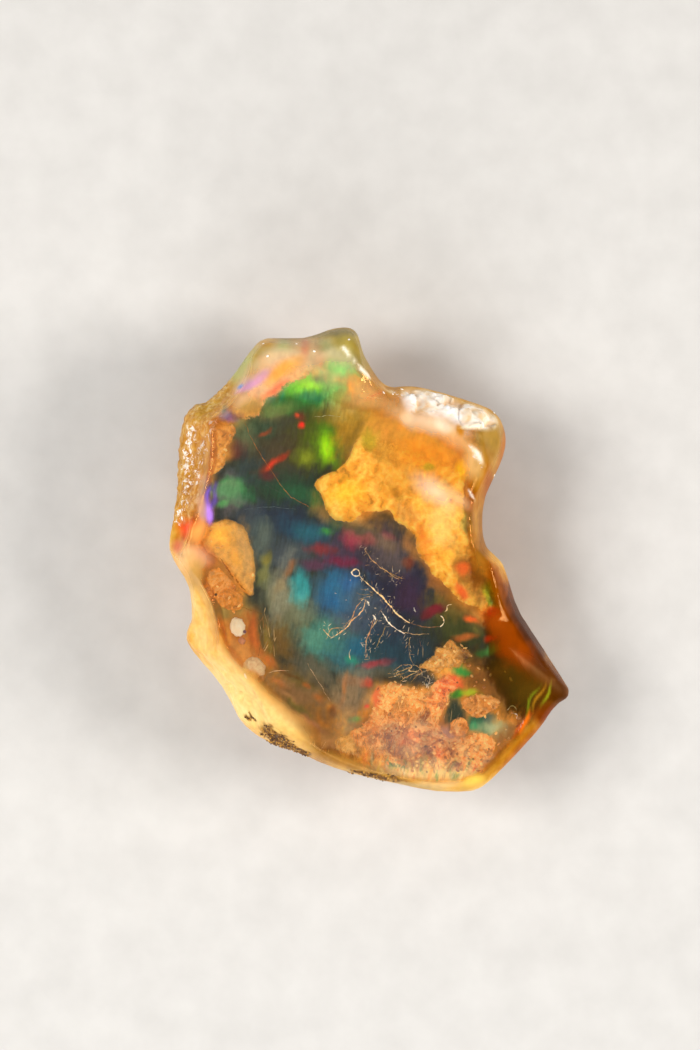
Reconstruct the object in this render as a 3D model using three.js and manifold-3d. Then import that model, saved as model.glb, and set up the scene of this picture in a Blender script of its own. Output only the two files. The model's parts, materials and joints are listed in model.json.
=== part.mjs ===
// Rough precious opal: one broken nodule that lies on its flat back with its clear, dished face up.
//
// The stone is lofted like a boat's hull. Stations run round its waist, the widest line, and each one
// says how the side there rises to the edge of the front face and how full the back is below it. The
// dished front and the knobbly back close the loft. Shell-shaped (conchoidal) fractures are then taken
// out of its sides and back, and a plane takes off the flat patch that it rests on.
//
// Millimetres, +Z up. The origin is at the middle of the footprint's box, on the resting plane.

import * as THREE from "three";
import { mergeVertices } from "three/addons/utils/BufferGeometryUtils.js";
import Module from "manifold-3d";

// ---- Driving dimensions -------------------------------------------------------------------------

const SPANS = 104; // mesh steps round the stone
const FRONT_RINGS = 14; // mesh rings on the front face, from its edge to its middle
const SHOULDER_RINGS = 5; // rings from the front edge down to the waist
const BACK_RINGS = 14; // rings from the waist down to the back's middle
const SHOULDER_BULGE = 0.45; // 0 is a flat bevel, 1 a quarter ellipse
const FRACTURE_FACET = 2.0; // length of a triangle's side on a fracture
const STONE_COLOUR = 0xd98a2b; // honey amber
const STONE_ROUGHNESS = 0.18;

// Stations, anticlockwise from the top of the head as the face is looked at. Each row holds:
// x, y        the waist's place
// bevel       how far the front edge lies inside the waist
// crest       the front edge's height
// waist       the waist's height
// fullness    2 is an elliptical back below the waist, more is fuller and squarer
const STATIONS = [
  [-3.0, 32.9, 2.6, 18.2, 12.4, 2.3],
  [-5.6, 32.6, 2.6, 18.4, 12.6, 2.3],
  [-9.1, 31.4, 2.2, 18.6, 12.8, 2.4],
  [-13.0, 31.3, 1.5, 19.0, 13.6, 2.4],
  [-15.4, 31.0, 1.3, 19.2, 14.0, 2.4],
  [-17.3, 28.9, 1.5, 19.6, 14.0, 2.5],
  [-19.6, 25.7, 1.8, 20.0, 13.6, 2.6],
  [-22.3, 22.8, 3.2, 20.2, 12.6, 2.6],
  [-25.2, 21.8, 4.8, 20.4, 11.6, 2.7],
  [-26.6, 19.8, 5.0, 20.6, 11.0, 2.8],
  [-27.2, 16.4, 5.0, 20.4, 10.6, 2.8],
  [-27.3, 12.4, 4.6, 20.2, 10.8, 2.7],
  [-27.4, 8.8, 4.0, 20.0, 11.4, 2.6],
  [-28.2, 4.3, 3.2, 19.8, 12.4, 2.6],
  [-28.5, 1.5, 2.8, 19.6, 12.6, 2.6],
  [-27.3, -1.1, 2.4, 19.4, 12.2, 2.7],
  [-25.7, -4.0, 2.4, 19.6, 11.4, 2.8],
  [-25.3, -8.2, 3.2, 20.0, 10.4, 2.9],
  [-26.4, -11.3, 4.6, 20.2, 9.6, 2.9],
  [-24.6, -14.1, 4.8, 20.4, 9.4, 2.9],
  [-21.6, -17.4, 4.8, 20.4, 9.4, 2.8],
  [-19.7, -20.6, 4.6, 20.2, 9.8, 2.7],
  [-18.4, -23.1, 4.6, 19.8, 10.2, 2.6],
  [-15.0, -25.7, 3.8, 19.2, 11.0, 2.6],
  [-11.2, -27.0, 2.8, 18.4, 12.2, 2.5],
  [-7.0, -28.8, 1.9, 17.4, 13.2, 2.4],
  [-2.0, -30.4, 1.3, 16.6, 13.8, 2.3],
  [3.7, -31.7, 1.2, 16.0, 13.8, 2.2],
  [9.2, -32.8, 1.2, 15.6, 13.6, 2.1],
  [14.4, -32.8, 1.0, 15.0, 13.2, 2.1],
  [16.7, -31.6, 1.0, 14.6, 13.0, 2.1],
  [20.2, -28.2, 1.4, 14.4, 12.6, 2.2],
  [24.1, -24.0, 1.5, 14.0, 12.2, 2.2],
  [26.2, -21.0, 1.4, 13.6, 11.8, 2.1],
  [28.5, -19.2, 1.6, 13.0, 11.2, 2.0],
  [27.0, -16.4, 2.8, 13.8, 10.6, 2.2],
  [24.0, -11.7, 3.6, 15.0, 10.4, 2.5],
  [21.2, -7.4, 3.0, 16.2, 10.8, 2.7],
  [19.9, -3.8, 2.4, 17.0, 11.4, 2.8],
  [18.7, -0.4, 2.2, 17.4, 11.8, 2.8],
  [16.5, 1.7, 2.0, 17.8, 12.2, 2.8],
  [15.9, 4.8, 2.0, 18.2, 12.4, 2.8],
  [16.3, 8.8, 2.6, 18.6, 12.2, 2.8],
  [18.1, 12.6, 3.4, 18.8, 11.6, 2.6],
  [19.2, 15.6, 3.8, 18.8, 11.2, 2.5],
  [19.2, 18.2, 3.8, 18.8, 11.0, 2.4],
  [17.8, 20.9, 3.8, 18.6, 11.2, 2.4],
  [14.6, 22.3, 4.6, 18.4, 11.6, 2.5],
  [9.3, 23.9, 4.4, 18.2, 12.0, 2.6],
  [5.6, 24.6, 2.8, 18.0, 12.4, 2.7],
  [2.8, 24.4, 2.0, 17.8, 12.6, 2.8],
  [1.0, 25.8, 2.0, 17.8, 12.6, 2.7],
  [-1.0, 29.2, 2.4, 18.0, 12.4, 2.5],
  [-1.7, 31.8, 2.6, 18.2, 12.4, 2.4],
];

// The conchoidal fractures, each a hollow left by a flake: a point that it passes through, the way it
// faces there, and the radius of its hollow.
const FRACTURES = [
  // The splintered corner of the right shoulder.
  { through: [14.4, 20.2, 16.6], facing: [0.3, 0.62, 0.72], radius: 9 },
  { through: [9.0, 21.6, 16.4], facing: [-0.1, 0.7, 0.7], radius: 8 },
  { through: [17.2, 17.0, 16.2], facing: [0.75, 0.15, 0.65], radius: 14 },
  // The scarred slope along the high left edge.
  { through: [-24.7, 14.0, 15.2], facing: [-0.82, 0.1, 0.56], radius: 19 },
  { through: [-25.9, 5.6, 15.0], facing: [-0.86, -0.16, 0.48], radius: 6 },
  { through: [-22.4, 21.0, 16.0], facing: [-0.45, 0.7, 0.5], radius: 12 },
  // The pale lower-left shoulder, in two long flakes.
  { through: [-23.6, -9.0, 14.6], facing: [-0.8, -0.15, 0.55], radius: 16 },
  { through: [-17.8, -20.0, 14.4], facing: [-0.7, -0.5, 0.5], radius: 26 },
  // The flanks, under the waist.
  { through: [-23.0, 9.0, 5.0], facing: [-0.72, 0.16, -0.68], radius: 38 },
  { through: [-20.0, -10.0, 4.0], facing: [-0.66, -0.3, -0.68], radius: 34 },
  { through: [-1.0, -25.4, 5.0], facing: [-0.06, -0.72, -0.7], radius: 46 },
  { through: [18.4, -18.6, 4.6], facing: [0.55, -0.38, -0.74], radius: 50 },
  { through: [14.4, 4.4, 4.0], facing: [0.78, 0.14, -0.6], radius: 26 },
  { through: [8.6, 20.2, 5.4], facing: [0.38, 0.66, -0.64], radius: 30 },
  { through: [-14.0, 25.6, 5.2], facing: [-0.4, 0.62, -0.68], radius: 44 },
  // The back, beside the patch that the stone lies on.
  { through: [-9.0, 12.0, 0.7], facing: [-0.2, 0.24, -0.95], radius: 90 },
  { through: [9.0, -7.0, 0.8], facing: [0.26, -0.12, -0.95], radius: 70 },
];

// ---- Shape of the two faces ---------------------------------------------------------------------

// A smooth hump or hollow: height at its middle, falling away over the radii rx and ry.
const swell = (x, y, [cx, cy, rx, ry, height]) =>
  height * Math.exp(-(((x - cx) / rx) ** 2) - ((y - cy) / ry) ** 2);

const FRONT_HEIGHT = 18.4;
const FRONT_FALL = [-0.07, 0.035]; // fall of the face per millimetre of x and of y
const FRONT_SWELLS = [
  [-5.0, 2.0, 13.0, 19.0, -2.4], // the dish that runs down the middle of the face
  [-7.0, 22.0, 8.0, 6.0, 0.7], // the low brow under the head
  [8.0, 12.0, 6.0, 9.0, 0.9], // the swelling over the right-hand honey cloud
  [-12.0, -17.0, 9.0, 6.0, 0.8], // the step inside the pale lower-left edge
  [14.0, -14.0, 7.0, 10.0, 0.6], // the rounded cheek above the right-hand point
  [6.0, -24.0, 10.0, 5.0, -0.5],
];

const BACK_HEIGHT = -0.4; // of the back's middle, which the resting plane cuts flat
const BACK_OUTLINE = [24.0, 29.0]; // radii of the oval that the rings on the back turn into
const BACK_SWELLS = [
  [-13.0, 15.0, 7.0, 6.0, -0.9],
  [-14.0, -8.0, 6.0, 7.0, -0.8],
  [10.0, 14.0, 6.0, 7.0, -0.9],
  [13.0, -16.0, 7.0, 6.0, -1.0],
  [-4.0, 25.0, 6.0, 5.0, -0.8],
  [-3.0, -21.0, 6.0, 5.0, 0.9],
  [15.0, -3.0, 5.0, 6.0, 0.8],
];

const total = (x, y, swells) => swells.reduce((sum, s) => sum + swell(x, y, s), 0);
const frontHeight = (x, y) =>
  FRONT_HEIGHT + FRONT_FALL[0] * x + FRONT_FALL[1] * y + total(x, y, FRONT_SWELLS);

// ---- The loft -----------------------------------------------------------------------------------

// Every column of the stations, read at u from 0 to 1 round the stone through a Catmull-Rom curve.
function stationAt(u) {
  const n = STATIONS.length;
  const at = u * n;
  const i = Math.floor(at);
  const f = at - i;
  const [a, b, c, d] = [-1, 0, 1, 2].map((k) => STATIONS[(i + k + n) % n]);
  return b.map(
    (_, k) =>
      0.5 *
      (2 * b[k] +
        (c[k] - a[k]) * f +
        (2 * a[k] - 5 * b[k] + 4 * c[k] - d[k]) * f * f +
        (3 * b[k] - a[k] - 3 * c[k] + d[k]) * f * f * f),
  );
}

// The point that lies inset millimetres in from the waist, towards the stone's middle.
function inwards(x, y, inset) {
  const length = Math.hypot(x, y);
  return [(x * (length - inset)) / length, (y * (length - inset)) / length];
}

// How far out and how far down a shoulder ring lies: a flat bevel mixed with a quarter ellipse.
const mixed = (flat, round) => (1 - SHOULDER_BULGE) * flat + SHOULDER_BULGE * round;

// The points of one span, from the front face's middle over the waist to the back's middle.
function spanPoints(u) {
  const [x, y, bevel, crest, waist, fullness] = stationAt(u);
  const points = [];
  const [fx, fy] = inwards(x, y, bevel);
  for (let i = 1; i <= FRONT_RINGS; i++) {
    const out = i / FRONT_RINGS;
    const edge = out ** 7; // how much the face has turned up or down to meet its edge
    const z = frontHeight(fx * out, fy * out) * (1 - edge) + crest * edge;
    points.push([fx * out, fy * out, z]);
  }
  for (let i = 1; i <= SHOULDER_RINGS; i++) {
    const down = i / SHOULDER_RINGS;
    const turn = (down * Math.PI) / 2;
    const inset = bevel * (1 - mixed(down, Math.sin(turn)));
    points.push([...inwards(x, y, inset), crest + (waist - crest) * mixed(down, 1 - Math.cos(turn))]);
  }
  const oval = 1 / Math.hypot(x / BACK_OUTLINE[0], y / BACK_OUTLINE[1]);
  for (let i = 1; i < BACK_RINGS; i++) {
    const turn = ((i / BACK_RINGS) * Math.PI) / 2;
    const out = Math.cos(turn) ** (2 / fullness);
    const fall = 1 - Math.sin(turn) ** (2 / fullness); // 1 at the waist, 0 at the back's middle
    const reach = out * (out ** 2 + oval * (1 - out ** 2)); // the outline's bays fade inwards
    const z = BACK_HEIGHT + (waist - BACK_HEIGHT) * fall;
    points.push([x * reach, y * reach, z + (1 - fall) * total(x * reach, y * reach, BACK_SWELLS)]);
  }
  return points;
}

function loftedNodule() {
  const spans = Array.from({ length: SPANS }, (_, i) => spanPoints(i / SPANS));
  const rings = spans[0].length;
  const positions = [0, 0, frontHeight(0, 0), ...spans.flat(2), 0, 0, BACK_HEIGHT];
  const last = SPANS * rings + 1;
  const at = (span, ring) => 1 + (span % SPANS) * rings + ring;
  const faces = [];
  for (let i = 0; i < SPANS; i++) {
    faces.push(0, at(i, 0), at(i + 1, 0));
    for (let r = 0; r < rings - 1; r++) {
      faces.push(at(i, r), at(i, r + 1), at(i + 1, r + 1));
      faces.push(at(i, r), at(i + 1, r + 1), at(i + 1, r));
    }
    faces.push(last, at(i + 1, rings - 1), at(i, rings - 1));
  }
  const geometry = new THREE.BufferGeometry();
  geometry.setAttribute("position", new THREE.Float32BufferAttribute(positions, 3));
  geometry.setIndex(faces);
  return geometry;
}

// ---- Cutting ------------------------------------------------------------------------------------

const wasm = await Module();
wasm.setup();

function solidFrom(geometry) {
  const bare = geometry.clone();
  bare.deleteAttribute("normal");
  bare.deleteAttribute("uv");
  const merged = mergeVertices(bare, 1e-4);
  const corners = merged.index ? merged.index.array : merged.attributes.position.array.keys();
  return new wasm.Manifold(
    new wasm.Mesh({
      numProp: 3,
      vertProperties: new Float32Array(merged.attributes.position.array),
      triVerts: new Uint32Array(corners),
    }),
  );
}

function geometryFrom(solid) {
  const mesh = solid.getMesh();
  const geometry = new THREE.BufferGeometry();
  geometry.setAttribute("position", new THREE.BufferAttribute(mesh.vertProperties, 3));
  geometry.setIndex(new THREE.BufferAttribute(mesh.triVerts, 1));
  return geometry;
}

// The ball whose surface passes through the fracture's point and faces out of the stone there.
function fractureSolid({ through, facing, radius }) {
  const detail = Math.ceil((1.05 * radius) / FRACTURE_FACET) - 1;
  const ball = new THREE.IcosahedronGeometry(radius, detail);
  const out = new THREE.Vector3(...facing).normalize();
  const centre = new THREE.Vector3(...through).addScaledVector(out, radius);
  ball.translate(centre.x, centre.y, centre.z);
  return solidFrom(ball);
}

function underTheTable() {
  const slab = new THREE.BoxGeometry(100, 100, 20);
  slab.translate(0, 0, -10);
  return solidFrom(slab);
}

let stone = solidFrom(loftedNodule());
for (const fracture of FRACTURES) stone = stone.subtract(fractureSolid(fracture));
stone = stone.subtract(underTheTable());

// ---- The part -----------------------------------------------------------------------------------

const geometry = geometryFrom(stone);
geometry.computeBoundingBox();
const middle = geometry.boundingBox.getCenter(new THREE.Vector3());
geometry.translate(-middle.x, -middle.y, -geometry.boundingBox.min.z);
geometry.computeVertexNormals();

const honeyOpal = new THREE.MeshStandardMaterial({
  name: "opal",
  color: STONE_COLOUR,
  roughness: STONE_ROUGHNESS,
  metalness: 0,
});
const opal = new THREE.Mesh(geometry, honeyOpal);
opal.name = "opal";

const part = new THREE.Group();
part.name = "rough_opal";
part.add(opal);

export default part;
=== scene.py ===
# %% [markdown]
# # A rough opal, lying on its back
#
# The stone is one broken piece of precious opal. Its face is clear, like thick honey-coloured glass,
# and what makes it worth looking at lies under that face: a dark window with patches of fire, milky
# masses like crumpled gold leaf, flakes, crumbs and fine threads. So the stone is built the way it
# grew. A clear outer body takes its shape from the CAD solid, and everything else is sealed inside it.
#
# Sizes are in millimetres wherever a name says nothing else, and MM turns them into Blender's metres.

# %% Load the frame
import json
import math

import bmesh
import bpy
import numpy as np
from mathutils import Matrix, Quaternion, Vector, noise
from mathutils.bvhtree import BVHTree

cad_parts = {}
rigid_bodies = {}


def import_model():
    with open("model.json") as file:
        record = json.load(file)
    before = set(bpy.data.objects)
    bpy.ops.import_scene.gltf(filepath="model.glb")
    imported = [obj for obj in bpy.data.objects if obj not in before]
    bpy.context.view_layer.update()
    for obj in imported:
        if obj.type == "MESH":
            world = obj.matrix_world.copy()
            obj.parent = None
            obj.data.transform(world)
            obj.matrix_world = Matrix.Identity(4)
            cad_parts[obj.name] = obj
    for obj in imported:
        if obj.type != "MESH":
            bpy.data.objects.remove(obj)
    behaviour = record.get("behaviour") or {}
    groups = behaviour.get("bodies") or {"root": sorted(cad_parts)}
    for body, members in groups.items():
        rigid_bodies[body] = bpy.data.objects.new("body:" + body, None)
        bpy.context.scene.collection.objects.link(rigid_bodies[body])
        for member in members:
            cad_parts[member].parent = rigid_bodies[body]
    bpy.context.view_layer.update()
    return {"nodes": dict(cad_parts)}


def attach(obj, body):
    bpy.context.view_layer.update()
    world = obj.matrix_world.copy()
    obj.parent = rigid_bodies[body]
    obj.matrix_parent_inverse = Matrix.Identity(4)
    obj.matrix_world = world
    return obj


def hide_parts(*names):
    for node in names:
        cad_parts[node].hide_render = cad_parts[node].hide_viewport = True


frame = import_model()
stone_node = frame["nodes"]["opal"]
MM = 0.001
SEED = 7
noise.seed_set(SEED)  # unseeded, the noise that bends outlines differs from run to run

# %% [markdown]
# ## The camera
#
# The camera looks straight down at the stone, with the stone's head at the top of the picture. A long
# lens a good way off keeps the stone's edges from spreading, as a close-up lens does in a studio.

# %% Camera
CAMERA_LENS = 100.0
CAMERA_SENSOR = 36.0
CAMERA_DISTANCE = 415.6
CAMERA_ASIDE = (-2.81, 4.87)
WAIST_HEIGHT = 10.0  # where the stone is widest: the camera stands off from there

camera = bpy.data.objects.new("camera", bpy.data.cameras.new("camera"))
camera.data.lens = CAMERA_LENS
camera.data.sensor_width = CAMERA_SENSOR
camera.location = Vector((*CAMERA_ASIDE, WAIST_HEIGHT + CAMERA_DISTANCE)) * MM
bpy.context.scene.collection.objects.link(camera)
bpy.context.scene.camera = camera
print("camera above the floor, mm:", WAIST_HEIGHT + CAMERA_DISTANCE)

# %% [markdown]
# ## Lights
#
# A polished stone shows its lamps as well as itself. The face lies almost level under the camera, so
# whatever hangs straight above it would be mirrored there as a white veil. The soft boxes stand well
# out to the sides instead, where only the steep rim and the broken facets turn them to the camera. A
# dim room fills the shadows.

# %% Lights
LAMPS = {
    # name: (place in metres, side of the soft box in metres, watts, tint)
    "left_soft_box": ((-0.47, 0.04, 0.48), 0.30, 3.9, (1.0, 0.98, 0.95)),
    "right_soft_box": ((0.60, 0.00, 0.36), 0.24, 4.6, (1.0, 0.97, 0.93)),
    "low_fill": ((-0.05, -0.60, 0.34), 0.40, 2.4, (0.95, 0.98, 1.0)),
}
ROOM_TINT = (0.86, 0.90, 0.95, 1.0)
ROOM_LIGHT = 0.15

for name, (place, size, watts, tint) in LAMPS.items():
    lamp = bpy.data.lights.new(name, "AREA")
    lamp.shape = "SQUARE"
    lamp.size = size
    lamp.energy = watts
    lamp.color = tint
    stand = bpy.data.objects.new(name, lamp)
    stand.location = place
    stand.rotation_euler = (-Vector(place)).to_track_quat("-Z", "Y").to_euler()
    bpy.context.scene.collection.objects.link(stand)
    print(name, "is", round(Vector(place).length, 2), "m from the stone")

world = bpy.data.worlds.new("dim_room")
world.use_nodes = True
world.node_tree.nodes["Background"].inputs["Color"].default_value = ROOM_TINT
world.node_tree.nodes["Background"].inputs["Strength"].default_value = ROOM_LIGHT
bpy.context.scene.world = world
bpy.context.scene.view_settings.view_transform = "Standard"

# %% [markdown]
# ## Colours
#
# Colours are written as six-figure codes, as a painter's swatch book has them. A code says how bright
# a screen shows a colour, while shaders and lamps work in linear light, so there is a step between.


# %% Colour helpers
def hues(code):
    """A six-figure colour code as red, green and blue from 0 to 1, as a screen shows them."""
    return np.array([int(code[i : i + 2], 16) / 255 for i in (0, 2, 4)])


def linear(tone):
    """Screen colours as the linear light that a shader works in."""
    return np.where(tone <= 0.04045, tone / 12.92, ((tone + 0.055) / 1.055) ** 2.4)


def colour(code):
    """A colour code as a shader's socket takes it."""
    return (*linear(hues(code)), 1.0)


def ramped(values, *stops):
    """A colour for each value, read between stops that are a value and a colour code each."""
    places = [place for place, code in stops]
    channels = np.array([hues(code) for place, code in stops])
    return np.stack([np.interp(values, places, channels[:, k]) for k in range(3)], axis=1)


# %% [markdown]
# ## Small tools for node trees
#
# Finishes and geometry nodes are both graphs. One short class adds nodes and feeds their sockets, and
# two classes build on it: one for finishes, and one for geometry nodes that grow a shape from another.
# Finishes work in millimetres of the stone's own space, so a grain of 0.8 is a grain 0.8 mm across.


# %% A graph of nodes
class Graph:
    """A tree of nodes, with short calls that add a node and feed its sockets."""

    def __init__(self, tree):
        self.tree = tree

    def node(self, kind, inputs=None, **settings):
        made = self.tree.nodes.new(kind)
        for key, value in settings.items():
            setattr(made, key, value)
        for key, value in (inputs or {}).items():
            self.feed(made.inputs[key], value)
        return made

    def feed(self, socket, value):
        """Puts a number, a colour code or another node's output into a socket."""
        if isinstance(value, bpy.types.NodeSocket):
            self.tree.links.new(value, socket)
        elif isinstance(value, str) and socket.type == "RGBA":
            socket.default_value = colour(value)
        else:
            socket.default_value = value

    def vector(self, operation, a, b=None, scale=None):
        made = self.node("ShaderNodeVectorMath", {0: a}, operation=operation)
        if b is not None:
            self.feed(made.inputs[1], b)
        if scale is not None:
            self.feed(made.inputs["Scale"], scale)
        return made.outputs["Vector"]

    def math(self, operation, a, b=0.0):
        return self.node("ShaderNodeMath", {0: a, 1: b}, operation=operation).outputs[0]

    def times(self, a, b):
        return self.math("MULTIPLY", a, b)

    def span(self, value, low, high, to_low=0.0, to_high=1.0):
        """value between low and high, stretched over to_low and to_high and held there outside."""
        made = self.node(
            "ShaderNodeMapRange",
            {0: value, 1: low, 2: high, 3: to_low, 4: to_high},
            interpolation_type="SMOOTHSTEP",
        )
        return made.outputs[0]


# %% A finish
class Finish(Graph):
    """A material under construction: one Principled shader and short calls that add nodes before it."""

    def __init__(self, name):
        self.material = bpy.data.materials.new(name)
        self.material.use_nodes = True
        super().__init__(self.material.node_tree)
        self.shader = self.tree.nodes["Principled BSDF"]
        object_space = self.node("ShaderNodeTexCoord").outputs["Object"]
        self.place = self.vector("SCALE", object_space, scale=1 / MM)

    def set(self, values):
        """Feeds the shader's sockets by their names."""
        for key, value in values.items():
            self.feed(self.shader.inputs[key], value)

    def grain(self, size, detail=3.0, roughness=0.5, distortion=0.0, stretch=None):
        """Cloudy noise from 0 to 1 in lumps of about size mm, stretched along a turned axis if asked."""
        place = self.place
        if stretch:
            turn, ratio = stretch
            place = self.node(
                "ShaderNodeMapping",
                {"Vector": place, "Rotation": (0, 0, math.radians(turn)), "Scale": (ratio, 1, 1)},
                vector_type="TEXTURE",
            ).outputs[0]
        given = {"Vector": place, "Scale": 1 / size, "Detail": detail}
        given.update({"Roughness": roughness, "Distortion": distortion})
        return self.node("ShaderNodeTexNoise", given).outputs["Fac"]

    def ramp(self, value, *stops):
        """A colour ramp: each stop is a position from 0 to 1 and a colour code."""
        made = self.node("ShaderNodeValToRGB", {"Fac": value})
        band = made.color_ramp.elements
        for i, (position, code) in enumerate(stops):
            stop = band[i] if i < 2 else band.new(position)
            stop.position = position
            stop.color = colour(code)
        return made.outputs["Color"]

    def mix(self, share, under, over, blend="MIX"):
        """over on top of under by share. Colours may be codes or outputs."""
        made = self.node("ShaderNodeMix", data_type="RGBA", blend_type=blend)
        self.feed(made.inputs["Factor"], share)
        self.feed(made.inputs[6], under)
        self.feed(made.inputs[7], over)
        return made.outputs[2]

    def mottled(self, tone, share, pattern, dark, light):
        """The tone darkened and lightened by a pattern, as strongly as share says.

        The two greys lie over the tone as an overlay, which the grey bcbcbc would leave unchanged.
        """
        return self.mix(share, tone, self.ramp(pattern, (0.3, dark), (0.7, light)), blend="OVERLAY")

    def attribute(self, name):
        """A number that the mesh holds for each of its points."""
        return self.node("ShaderNodeAttribute", attribute_name=name).outputs["Fac"]

    def painted(self, name):
        """A colour that the mesh holds for each of its points."""
        return self.node("ShaderNodeAttribute", attribute_name=name).outputs["Color"]

    def bump(self, height, depth):
        """Small relief for the shader's normal: height from 0 to 1 stands for depth millimetres."""
        made = self.node("ShaderNodeBump", {"Height": height, "Distance": depth * MM})
        self.feed(self.shader.inputs["Normal"], made.outputs[0])


# %% Objects and their meshes
def object_from(mesh, name):
    made = bpy.data.objects.new(name, mesh)
    bpy.context.scene.collection.objects.link(made)
    return made


def settle(shape):
    """Replaces an object's mesh by what its modifiers make of it, and takes the modifiers off."""
    graph = bpy.context.evaluated_depsgraph_get()
    mesh = bpy.data.meshes.new_from_object(shape.evaluated_get(graph))
    shape.modifiers.clear()
    shape.data = mesh
    return shape


def dress(shape, finish):
    """Gives a shape one finish all over."""
    shape.data.materials.clear()
    shape.data.materials.append(finish)
    print(shape.name, "wears", finish.name)


# %% A grower
class Grower(Graph):
    """A geometry-nodes tree with named inputs, which grows one shape from another."""

    def __init__(self, name, inputs):
        super().__init__(bpy.data.node_groups.new(name, "GeometryNodeTree"))
        kinds = {"Shape": "Geometry", **inputs, "Finish": "Material"}
        for label, kind in kinds.items():
            self.tree.interface.new_socket(label, in_out="INPUT", socket_type=f"NodeSocket{kind}")
        self.tree.interface.new_socket("Result", in_out="OUTPUT", socket_type="NodeSocketGeometry")
        self.given = self.node("NodeGroupInput").outputs

    def end(self, geometry):
        """Ends the tree: copies are made real and everything gets the finish."""
        real = self.node("GeometryNodeRealizeInstances", {"Geometry": geometry}).outputs[0]
        soft = self.node("GeometryNodeSetShadeSmooth", {"Geometry": real}).outputs[0]
        finish = self.given["Finish"]
        worn = self.node("GeometryNodeSetMaterial", {"Geometry": soft, "Material": finish})
        self.node("NodeGroupOutput", {0: worn.outputs[0]})
        print(self.tree.name, "has", len(self.tree.nodes), "nodes")

    def grow(self, name, mesh, **values):
        """Runs the tree on a mesh and gives an object that holds what grew, as a plain mesh."""
        grown = object_from(mesh, name)
        modifier = grown.modifiers.new("grow", "NODES")
        modifier.node_group = self.tree
        for item in self.tree.interface.items_tree:
            if item.in_out == "INPUT" and item.name in values:
                modifier[item.identifier] = values[item.name]
        settle(grown)
        print(name, "has", len(grown.data.polygons), "faces")
        return grown


# %% [markdown]
# ## Small tools for shapes
#
# A stone has no straight edges to extrude, so its pieces are grown: a closed shape is turned into an
# even net of small faces, and then every point of the net is moved by a rule. The net keeps each piece
# closed, and the rules are where the modelling happens. The rules read noise at each point: clouds for
# soft swells, and cells for lumps and splinters.


# %% Reading and moving points
def points_of(mesh):
    """The mesh's points in millimetres, one row each."""
    flat = np.empty(len(mesh.vertices) * 3, np.float32)
    mesh.vertices.foreach_get("co", flat)
    return flat.reshape(-1, 3).astype(float) / MM


def normals_of(mesh):
    flat = np.empty(len(mesh.vertices) * 3, np.float32)
    mesh.vertices.foreach_get("normal", flat)
    return flat.reshape(-1, 3).astype(float)


def move_to(mesh, points):
    mesh.vertices.foreach_set("co", (points * MM).astype(np.float32).ravel())
    mesh.update()


def keep(mesh, name, values):
    """Stores one number for each point of the mesh, for a finish to read."""
    field = mesh.attributes.new(name, "FLOAT", "POINT")
    field.data.foreach_set("value", np.asarray(values, np.float32))


def keep_tone(mesh, name, tone):
    """Stores one screen colour for each point of the mesh, as linear light."""
    field = mesh.attributes.new(name, "FLOAT_COLOR", "POINT")
    rows = np.ones((len(tone), 4), np.float32)
    rows[:, :3] = linear(np.clip(tone, 0, 1))
    field.data.foreach_set("color", rows.ravel())


# %% A coarser underside
DOWNWARD = -0.05  # a point whose normal has a z below this belongs to the underside


def thin_underside(shape, share):
    """Leaves a share of all faces, and takes the rest from the underside, which has no fine marks."""
    downward = np.flatnonzero(normals_of(shape.data)[:, 2] < DOWNWARD)
    shape.vertex_groups.new(name="underside").add(downward.tolist(), 1.0, "REPLACE")
    thin = shape.modifiers.new("thin", "DECIMATE")
    thin.ratio = share
    thin.vertex_group = "underside"
    settle(shape)
    shape.vertex_groups.clear()


# %% Rules to move points by
def smooth(value, low, high):
    """0 up to low, 1 from high on, and an even curve between them."""
    t = np.clip((value - low) / (high - low), 0, 1)
    return t * t * (3 - 2 * t)


def cloud(points, size, octaves=3, seed=0.0):
    """Cloudy noise from about -1 to 1 with lumps of about size mm, read at each point."""
    return np.array([noise.fractal(Vector(p), 0.9, 2.0, octaves) for p in points / size + seed])


def lumps(points, size, seed=0.0):
    """Cells of about size mm: how far each point is from its cell's middle, how near to the next cell,
    and a number from -1 to 1 that is the same all over the cell."""
    found = [noise.voronoi(Vector(p)) for p in points / size + seed]
    middle = np.array([distances[0] for distances, places in found])
    wall = np.array([distances[1] - distances[0] for distances, places in found])
    chance = np.array([noise.cell(places[0] * 37.0) for distances, places in found])
    return middle, wall, chance


def splinters(points, size, seed=0.0):
    """Flat facets about size mm across, each tilted its own way: a height from about -1 to 1."""
    heights = []
    for p in points / size + seed:
        middle = noise.voronoi(Vector(p))[1][0]
        tilt = noise.cell_vector(middle * 37.0)
        heights.append(1.6 * tilt.dot(Vector(p) - middle) + 0.2 * noise.cell(middle * 53.0))
    return np.clip(heights, -1.2, 1.2)


def drifted(points, size, reach, seed=0.0):
    """The points moved sideways by up to about reach mm, in waves of about size mm."""
    flat = points * (1, 1, 0)
    waves = np.array([noise.noise_vector(Vector(p)) for p in flat / size + seed])
    return flat + reach * waves * (1, 1, 0)


# %% Distances in plan
STONE_MIDDLE = np.array([-2.0, 1.0])
SLICE = 3  # degrees


def away(points, path):
    """How far each point lies, in plan, from a path given by its corners."""
    best = np.full(len(points), 1e9)
    flat = points[:, :2]
    for a, b in zip(path, path[1:]):
        a, b = np.array(a, float), np.array(b, float)
        along = np.clip(((flat - a) @ (b - a)) / ((b - a) @ (b - a)), 0, 1)
        best = np.minimum(best, np.linalg.norm(flat - (a + along[:, None] * (b - a)), axis=1))
    return best


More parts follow.
